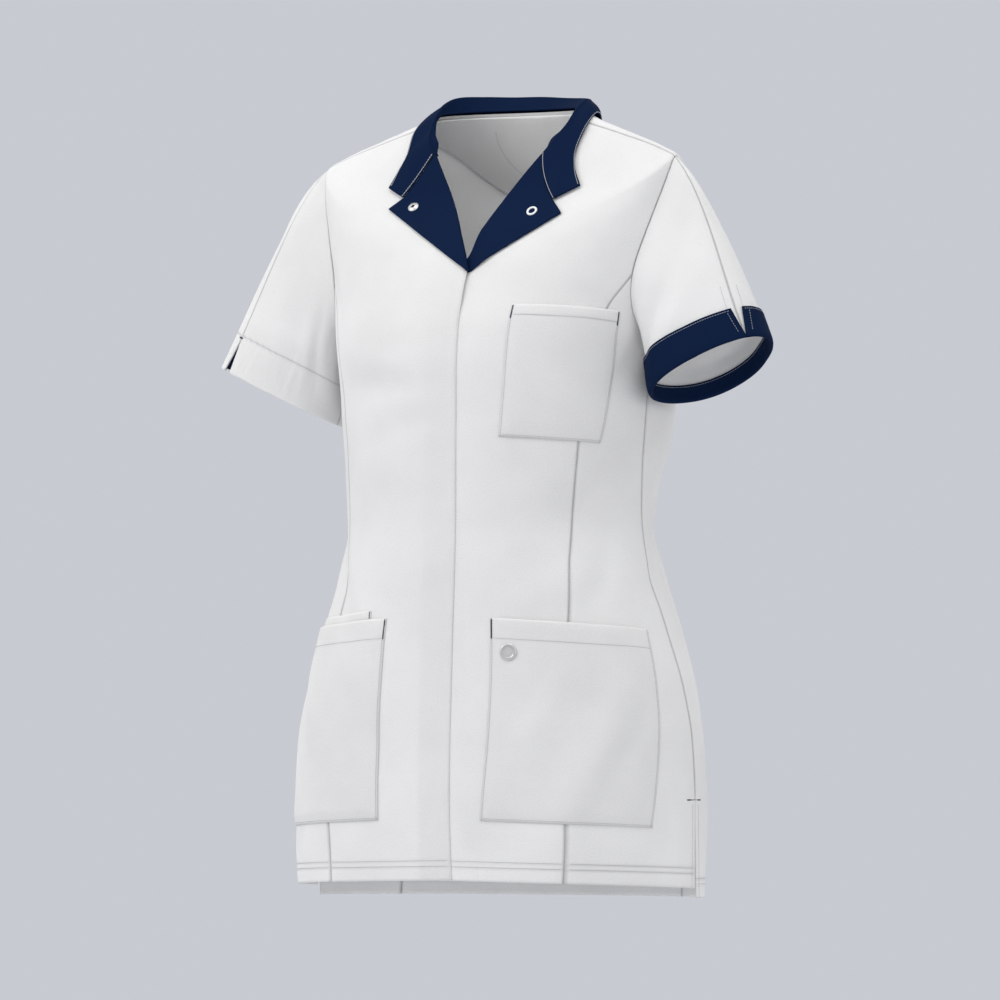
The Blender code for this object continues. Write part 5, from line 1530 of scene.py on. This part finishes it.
def make_lapel(name, side, start, foot, tip, wall):
    """A turned-out facing: from inside the front's edge, round the roll line, out to its corner."""
    rows = LAPEL_ROWS * LAPEL_FINE_ROWS
    _, _, notch, corner, _, _ = LAPELS[name]
    run_down = straight(start, foot, FOOT_ROWS * LAPEL_FINE_ROWS)[:-1]
    inner = np.concatenate([run_down, roll_line(name, foot, rows)])
    for _ in range(FOOT_ROUNDING):
        inner[1:-1] = (inner[:-2] + 2.0 * inner[1:-1] + inner[2:]) / 4.0
    outer = straight(tip, corner, len(inner) - 1)
    gorge = gorge_line(name, np.linspace(0.0, 1.0, GORGE_COLUMNS * LAPEL_FINE + 1))
    top = np.concatenate([gorge, straight(notch, corner, 2 * LAPEL_FINE)[1:]])
    bottom = straight(inner[0], outer[0], len(top) - 1)
    flat = patch(inner, outer, bottom, top)
    run = np.gradient(inner, axis=0)
    run = run / np.linalg.norm(run, axis=1, keepdims=True)
    beyond = np.stack([-run[:, 1], run[:, 0]], -1)
    wrap_table = np.concatenate([np.array(WRAP), [(0.0, LAPEL_LIFT)]])
    wrap_table = through(wrap_table, WRAP_FINE)[:-1]
    wrap = inner[:, None] + beyond[:, None] * wrap_table[None, :, :1]
    wrap_lift = np.broadcast_to(wrap_table[:, 1], wrap.shape[:2])
    grid = np.concatenate([wrap, flat], 1)
    lift = np.concatenate([wrap_lift, np.full(flat.shape[:2], LAPEL_LIFT)], 1)
    place = on_front(grid[..., 0], grid[..., 1])
    if name == "left":
        lift = lift + dip(grid[..., 0], grid[..., 1])
    points = body(place[..., 0] * side, place[..., 1], lift)
    normal = grid_normals(points, np.array([0.0, 2.0, -10.0]))
    if side < 0.0:
        points, normal = points[:, ::-1], normal[:, ::-1]
    outer_edge = "right" if side > 0.0 else "left"
    points, painted_shade = sewn(points, normal, {outer_edge: ("edge", 2.0 + side), "top": ("edge", 3.0)})
    cloth("lapel_" + name + "_cloth", "lapel_" + name, points, painted_shade, wall, "navy_cloth")


def make_lapels(wall):
    """Both turned-out lapels."""
    for name, side in (("right", -1.0), ("left", 1.0)):
        make_lapel(name, side, LAPEL_BEGIN[name], LAPELS[name][0], LAPEL_TIPS[name], wall)


# ---------------------------------------------------------------- snaps and the disc

def turned(name, node, profile, place, side, lift, shade):
    """A small turned piece on the front: a profile of radius and height carried round its axis.
    Corners of the profile are rounded by cutting each one twice; its painted shade is a mask."""
    marked = np.array(profile, float)
    closed = marked[0, 0] > 0.0
    for _ in range(2):
        after = np.roll(marked, -1, 0) if closed else marked[1:]
        before = marked if closed else marked[:-1]
        cut = np.stack([before * 0.8 + after * 0.2, before * 0.2 + after * 0.8], 1).reshape(-1, 3)
        marked = cut if closed else np.concatenate([marked[:1], cut, marked[-1:]])
    profile, painted_hollow_shade = marked[:, :2], marked[:, 2]
    keep = profile if closed else profile[1:-1]
    steps = 48
    turn = np.arange(steps) / steps * 2 * np.pi
    verts = np.stack([keep[:, None, 0] * np.cos(turn), keep[:, None, 0] * np.sin(turn),
                      np.broadcast_to(keep[:, None, 1], (len(keep), steps))], -1).reshape(-1, 3)
    mask = np.repeat(painted_hollow_shade if closed else painted_hollow_shade[1:-1], steps)
    rings = len(keep)
    row = np.arange(rings if closed else rings - 1)[:, None] * steps
    nxt = ((np.arange(rings if closed else rings - 1) + 1) % rings)[:, None] * steps
    a, b = np.arange(steps)[None], ((np.arange(steps) + 1) % steps)[None]
    faces = [np.stack([row + a, nxt + a, nxt + b, row + b], -1).reshape(-1, 4)]
    if not closed:
        poles = np.array([(0.0, 0.0, profile[0, 1]), (0.0, 0.0, profile[-1, 1])])
        verts = np.concatenate([verts, poles])
        mask = np.concatenate([mask, [painted_hollow_shade[0], painted_hollow_shade[-1]]])
        top, low = len(verts) - 2, len(verts) - 1
        last = (rings - 1) * steps
        around = np.arange(steps)
        nearby = (around + 1) % steps
        faces.append(np.stack([np.full(steps, top), around, nearby], -1))
        faces.append(np.stack([np.full(steps, low), last + nearby, last + around], -1))
    at = on_front(*place)
    where = body(at[0] * side, at[1], lift)
    normal = outward(at[0] * side, at[1])
    basis = np.array(Vector(normal).to_track_quat("Z", "Y").to_matrix())
    piece = add_mesh(name, (verts @ basis.T + where) * CM, faces, mask=mask, shade=shade)
    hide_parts(node)
    return piece


# columns: radius, height, painted shade in the hollows
SOCKET = (
    (0.0, 0.04, 1.0), (0.12, 0.04, 1.0), (0.15, 0.13, 0.7), (0.22, 0.17, 0.0), (0.34, 0.15, 0.0),
    (0.50, 0.07, 0.0), (0.57, 0.02, 0.0), (0.57, 0.0, 0.0), (0.0, 0.0, 0.0),
)
RING = (
    (0.34, 0.0, 0.0), (0.34, 0.05, 0.0), (0.38, 0.11, 0.0), (0.45, 0.13, 0.0), (0.53, 0.11, 0.0),
    (0.575, 0.04, 0.0), (0.575, 0.0, 0.0),
)
DISC = (
    (0.0, 0.08, 0.0), (0.52, 0.08, 0.12), (0.60, 0.12, 0.25), (0.78, 0.12, 0.0), (0.85, 0.06, 0.0),
    (0.85, 0.0, 0.0), (0.0, 0.0, 0.0),
)
ON_LAPEL = 0.06           # from the middle of the lapel's cloth to the foot of a snap
DISC_LIFT = 0.30


def make_fastenings():
    """The snap on the right lapel, the ring on the left one and the disc on the pocket."""
    foot = LAPEL_LIFT + ON_LAPEL
    turned("snap_socket", "snap_socket_right", SOCKET, LAPELS["right"][-1], -1.0, foot, "steel")
    turned("snap_ring", "snap_ring_left", RING, LAPELS["left"][-1], 1.0, foot, "white_plastic")
    turned("plain_disc", "pocket_disc", DISC, DISC_AT, 1.0, DISC_LIFT, "steel")


# ---------------------------------------------------------------- sewing

def make_threads():
    """All the rows of stitches, in two meshes."""
    stitch_run("white_stitches", STITCHES, STITCH_PITCH, STITCH_LENGTH, THREAD, "white_thread")
    stitch_run("edge_stitches", EDGE_LINES, EDGE_PITCH, EDGE_LENGTH, EDGE_THREAD, "white_thread")


def make_tacks():
    """Navy bartacks at the pockets, the slits and the right sleeve, all in one mesh."""
    verts, tubes, caps = [], [], []
    start = 0
    for ends, ups, width in TACKS:
        block, tube, cap = bartack(ends, ups, width, width * 0.5, TACK_PITCH)
        verts.append(block)
        tubes.append(tube + start)
        caps.append(cap + start)
        start += len(block)
    faces = [np.concatenate(tubes), np.concatenate(caps)]
    piece = add_mesh("bartacks", np.concatenate(verts) * CM, faces, shade="navy_thread")


def body_tack(angle, level, slope, length, lift=0.07):
    """A bartack on the body, centred on a place, its line turned by slope from the level."""
    tilt = math.radians(slope)
    across = math.cos(tilt) * length / 2.0 / (ring("half_width", level) * math.radians(1.0))
    up = math.sin(tilt) * length / 2.0
    angles = np.array([angle - across, angle + across])
    levels = np.array([level - up, level + up])
    place = body(angles, levels, lift)
    out = outward(angles, levels)
    TACKS.append((place, out, TACK_WIDTH))


# ---------------------------------------------------------------- stage

def make_stage(paper):
    """A wide round floor: rings of points at growing distances."""
    radius = np.array([0.02, 0.5, 1.0, 2.0, 4.0, 7.0, 10.0])
    steps = 96
    turn = np.arange(steps) / steps * 2 * np.pi
    verts = np.stack([radius[:, None] * np.cos(turn), radius[:, None] * np.sin(turn),
                      np.full((len(radius), steps), FLOOR)], -1).reshape(-1, 3)
    row = np.arange(len(radius) - 1)[:, None] * steps
    a, b = np.arange(steps)[None], ((np.arange(steps) + 1) % steps)[None]
    rings = np.stack([row + a, row + steps + a, row + steps + b, row + b], -1).reshape(-1, 4)
    mesh = bpy.data.meshes.new("floor")
    mesh.from_pydata(verts.tolist(), [], rings.tolist() + [list(range(steps))])
    ground = bpy.data.objects.new("floor", mesh)
    bpy.context.scene.collection.objects.link(ground)
    finish = bpy.data.materials.new("paper")
    finish.use_nodes = True
    tree = finish.node_tree
    shader = tree.nodes["Principled BSDF"]
    shader.inputs["Roughness"].default_value = 0.95
    shader.inputs["Specular IOR Level"].default_value = 0.1
    where = tree.nodes.new("ShaderNodeTexCoord")
    grain = noise_node(tree, where.outputs["Object"], 3.0, 2.0)
    tree.links.new(mix_colour(tree, grain, paper, tuple(0.97 * c for c in paper[:3]) + (1.0,)),
                   shader.inputs["Base Color"])
    mesh.materials.append(finish)


def add_lamp(name, size, power, place, target, colour):
    """A rectangular lamp that faces a target."""
    data = bpy.data.lights.new(name, "AREA")
    data.shape = "RECTANGLE"
    data.size, data.size_y = size
    data.energy = power
    data.color = colour
    lamp = bpy.data.objects.new(name, data)
    lamp.location = place
    lamp.rotation_mode = "QUATERNION"
    lamp.rotation_quaternion = (Vector(place) - Vector(target)).to_track_quat("Z", "Y")
    bpy.context.scene.collection.objects.link(lamp)


MIDDLE = (0.0, 0.0, -0.35)
# columns: lamp, size, watts, place, what it faces, colour
LAMPS = (
    ("key", (1.6, 1.8), 40.0, (-2.2, -3.0, 2.0), MIDDLE, (1.0, 0.99, 0.98)),
    ("fill", (2.4, 2.4), 13.0, (3.6, -2.2, 0.6), MIDDLE, (0.98, 0.99, 1.0)),
    ("top", (1.6, 1.6), 26.0, (0.3, -1.5, 2.7), (0.0, 0.0, -0.1), (1.0, 1.0, 1.0)),
    ("rear", (2.0, 2.0), 10.0, (-2.6, 1.6, 1.6), MIDDLE, (1.0, 1.0, 1.0)),
)


def make_lights(power, backdrop):
    """Four soft lamps, an even grey light all round and the backdrop's colour behind."""
    for name, size, watts, place, target, colour in LAMPS:
        add_lamp(name, size, watts * power, place, target, colour)
    world = bpy.data.worlds.new("studio")
    world.use_nodes = True
    tree = world.node_tree
    seen = tree.nodes["Background"]
    seen.inputs["Color"].default_value = backdrop
    around = tree.nodes.new("ShaderNodeBackground")
    around.inputs["Color"].default_value = (0.80, 0.80, 0.80, 1.0)
    ray = tree.nodes.new("ShaderNodeLightPath")
    both = tree.nodes.new("ShaderNodeMixShader")
    tree.links.new(ray.outputs["Is Camera Ray"], both.inputs[0])
    tree.links.new(around.outputs[0], both.inputs[1])
    tree.links.new(seen.outputs[0], both.inputs[2])
    tree.links.new(both.outputs[0], tree.nodes["World Output"].inputs["Surface"])
    bpy.context.scene.world = world
    bpy.context.scene.view_settings.view_transform = "Standard"
    bpy.context.scene.view_settings.look = "None"


def make_camera(azimuth, elevation, distance, lens):
    """The photograph's view: azimuth from the front towards the wearer's left, level with the chest."""
    az, el = azimuth, elevation
    back = Vector((math.sin(az) * math.cos(el), -math.cos(az) * math.cos(el), math.sin(el)))
    aim = Vector((-0.0036 * math.cos(az), -0.0036 * math.sin(az), -0.38))
    data = bpy.data.cameras.new("camera")
    data.sensor_width = 36.0
    data.lens = lens
    camera = bpy.data.objects.new("camera", data)
    camera.location = aim + back * distance
    camera.rotation_mode = "QUATERNION"
    camera.rotation_quaternion = back.to_track_quat("Z", "Y")
    bpy.context.scene.collection.objects.link(camera)
    bpy.context.scene.camera = camera


# ---------------------------------------------------------------- the add-on

class TunicCloth(bpy.types.PropertyGroup):
    """Colours and walls of the cloth."""
    white: FloatVectorProperty(name="White", description="Colour of the white twill", subtype="COLOR", size=3,
                               min=0.0, max=1.0, default=(0.88, 0.88, 0.88))
    navy: FloatVectorProperty(name="Navy", description="Colour of the collar, lapels and facings", subtype="COLOR",
                              size=3, min=0.0, max=1.0, default=(0.004, 0.014, 0.050))
    white_thread: FloatVectorProperty(name="White thread", description="Colour of the white stitching",
                                      subtype="COLOR", size=3, min=0.0, max=1.0, default=(0.42, 0.43, 0.46))
    wall: FloatProperty(name="Cloth wall", description="Thickness of one layer of cloth", default=0.001,
                        min=0.0005, max=0.002, unit="LENGTH")
    collar_wall: FloatProperty(name="Collar wall", description="Thickness of the collar and its stiffening",
                               default=0.0013, min=0.0008, max=0.002, unit="LENGTH")


class TunicStage(bpy.types.PropertyGroup):
    """Camera, light and backdrop."""
    azimuth: FloatProperty(name="Azimuth", description="Camera's turn from the front", subtype="ANGLE",
                           default=math.radians(28.0))
    elevation: FloatProperty(name="Elevation", description="Camera's height as an angle", subtype="ANGLE",
                             default=math.radians(-1.8))
    distance: FloatProperty(name="Distance", description="Camera's distance", default=7.8, min=1.0, unit="LENGTH")
    lens: FloatProperty(name="Lens", description="Focal length in millimetres", default=280.8, min=20.0)
    power: FloatProperty(name="Light", description="Strength of all the lights", default=0.92, min=0.0)
    paper: FloatVectorProperty(name="Backdrop", description="Colour of the backdrop", subtype="COLOR", size=4,
                               min=0.0, max=1.0, default=(0.578, 0.591, 0.645, 1.0))


class TUNIC_OT_finishes(bpy.types.Operator):
    """Make the materials of the cloth, threads and metal"""
    bl_idname = "tunic.finishes"
    bl_label = "Cloth and metal finishes"

    def execute(self, context):
        make_finishes(context.scene.tunic_cloth)
        return {"FINISHED"}


class TUNIC_OT_body(bpy.types.Operator):
    """Cut the fronts, sides, back and the facing of the back neck"""
    bl_idname = "tunic.body"
    bl_label = "Fronts and back"

    def execute(self, context):
        make_body_pieces(context.scene.tunic_cloth.wall)
        for side in (-1.0, 1.0):
            body_tack(SLIT_TACK * side, SLIT_TOP + 0.1, 0.0, SLIT_TACK_LENGTH)
        return {"FINISHED"}


class TUNIC_OT_pockets(bpy.types.Operator):
    """Lay the four patch pockets on the fronts"""
    bl_idname = "tunic.pockets"
    bl_label = "Pockets"

    def execute(self, context):
        make_pockets(context.scene.tunic_cloth.wall)
        return {"FINISHED"}


class TUNIC_OT_sleeves(bpy.types.Operator):
    """Set in both sleeves with the turned cuff and the hem's facing"""
    bl_idname = "tunic.sleeves"
    bl_label = "Sleeves"

    def execute(self, context):
        make_sleeves(context.scene.tunic_cloth.wall)
        return {"FINISHED"}


class TUNIC_OT_collar(bpy.types.Operator):
    """Turn out the lapels and fold the collar over them"""
    bl_idname = "tunic.collar"
    bl_label = "Collar and lapels"

    def execute(self, context):
        make_lapels(context.scene.tunic_cloth.wall)
        make_collar(context.scene.tunic_cloth.collar_wall)
        return {"FINISHED"}


class TUNIC_OT_fastenings(bpy.types.Operator):
    """Set the snap, its ring and the plain disc"""
    bl_idname = "tunic.fastenings"
    bl_label = "Snaps and disc"

    def execute(self, context):
        make_fastenings()
        return {"FINISHED"}


class TUNIC_OT_sewing(bpy.types.Operator):
    """Sew the rows of stitches and the bartacks"""
    bl_idname = "tunic.sewing"
    bl_label = "Stitching"

    def execute(self, context):
        make_threads()
        make_tacks()
        return {"FINISHED"}


class TUNIC_OT_stage(bpy.types.Operator):
    """Set the backdrop, the lights and the camera"""
    bl_idname = "tunic.stage"
    bl_label = "Stage"

    def execute(self, context):
        stage = context.scene.tunic_stage
        make_stage((0.70, 0.71, 0.74, 1.0))
        make_lights(stage.power, tuple(stage.paper))
        make_camera(stage.azimuth, stage.elevation, stage.distance, stage.lens)
        return {"FINISHED"}


class TUNIC_PT_panel(bpy.types.Panel):
    """Sizes, colours and steps of the tunic"""
    bl_idname = "TUNIC_PT_panel"
    bl_label = "Work tunic"
    bl_space_type = "VIEW_3D"
    bl_region_type = "UI"
    bl_category = "Tunic"

    def draw(self, context):
        for label, settings in (("Cloth", context.scene.tunic_cloth), ("Stage", context.scene.tunic_stage)):
            box = self.layout.box()
            box.label(text=label)
            for name in settings.__annotations__:
                box.prop(settings, name)
        for operator in OPERATORS:
            self.layout.operator(operator.bl_idname)


OPERATORS = (
    TUNIC_OT_finishes, TUNIC_OT_body, TUNIC_OT_pockets, TUNIC_OT_sleeves, TUNIC_OT_collar, TUNIC_OT_fastenings,
    TUNIC_OT_sewing, TUNIC_OT_stage,
)
CLASSES = (TunicCloth, TunicStage) + OPERATORS + (TUNIC_PT_panel,)


def register():
    for kind in CLASSES:
        bpy.utils.register_class(kind)
    bpy.types.Scene.tunic_cloth = PointerProperty(type=TunicCloth)
    bpy.types.Scene.tunic_stage = PointerProperty(type=TunicStage)


def unregister():
    del bpy.types.Scene.tunic_cloth
    del bpy.types.Scene.tunic_stage
    for kind in reversed(CLASSES):
        bpy.utils.unregister_class(kind)


def main():
    register()
    for step in ("finishes", "body", "pockets", "sleeves", "collar", "fastenings", "sewing", "stage"):
        getattr(bpy.ops.tunic, step)()
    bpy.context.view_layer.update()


if __name__ == "__main__":
    main()
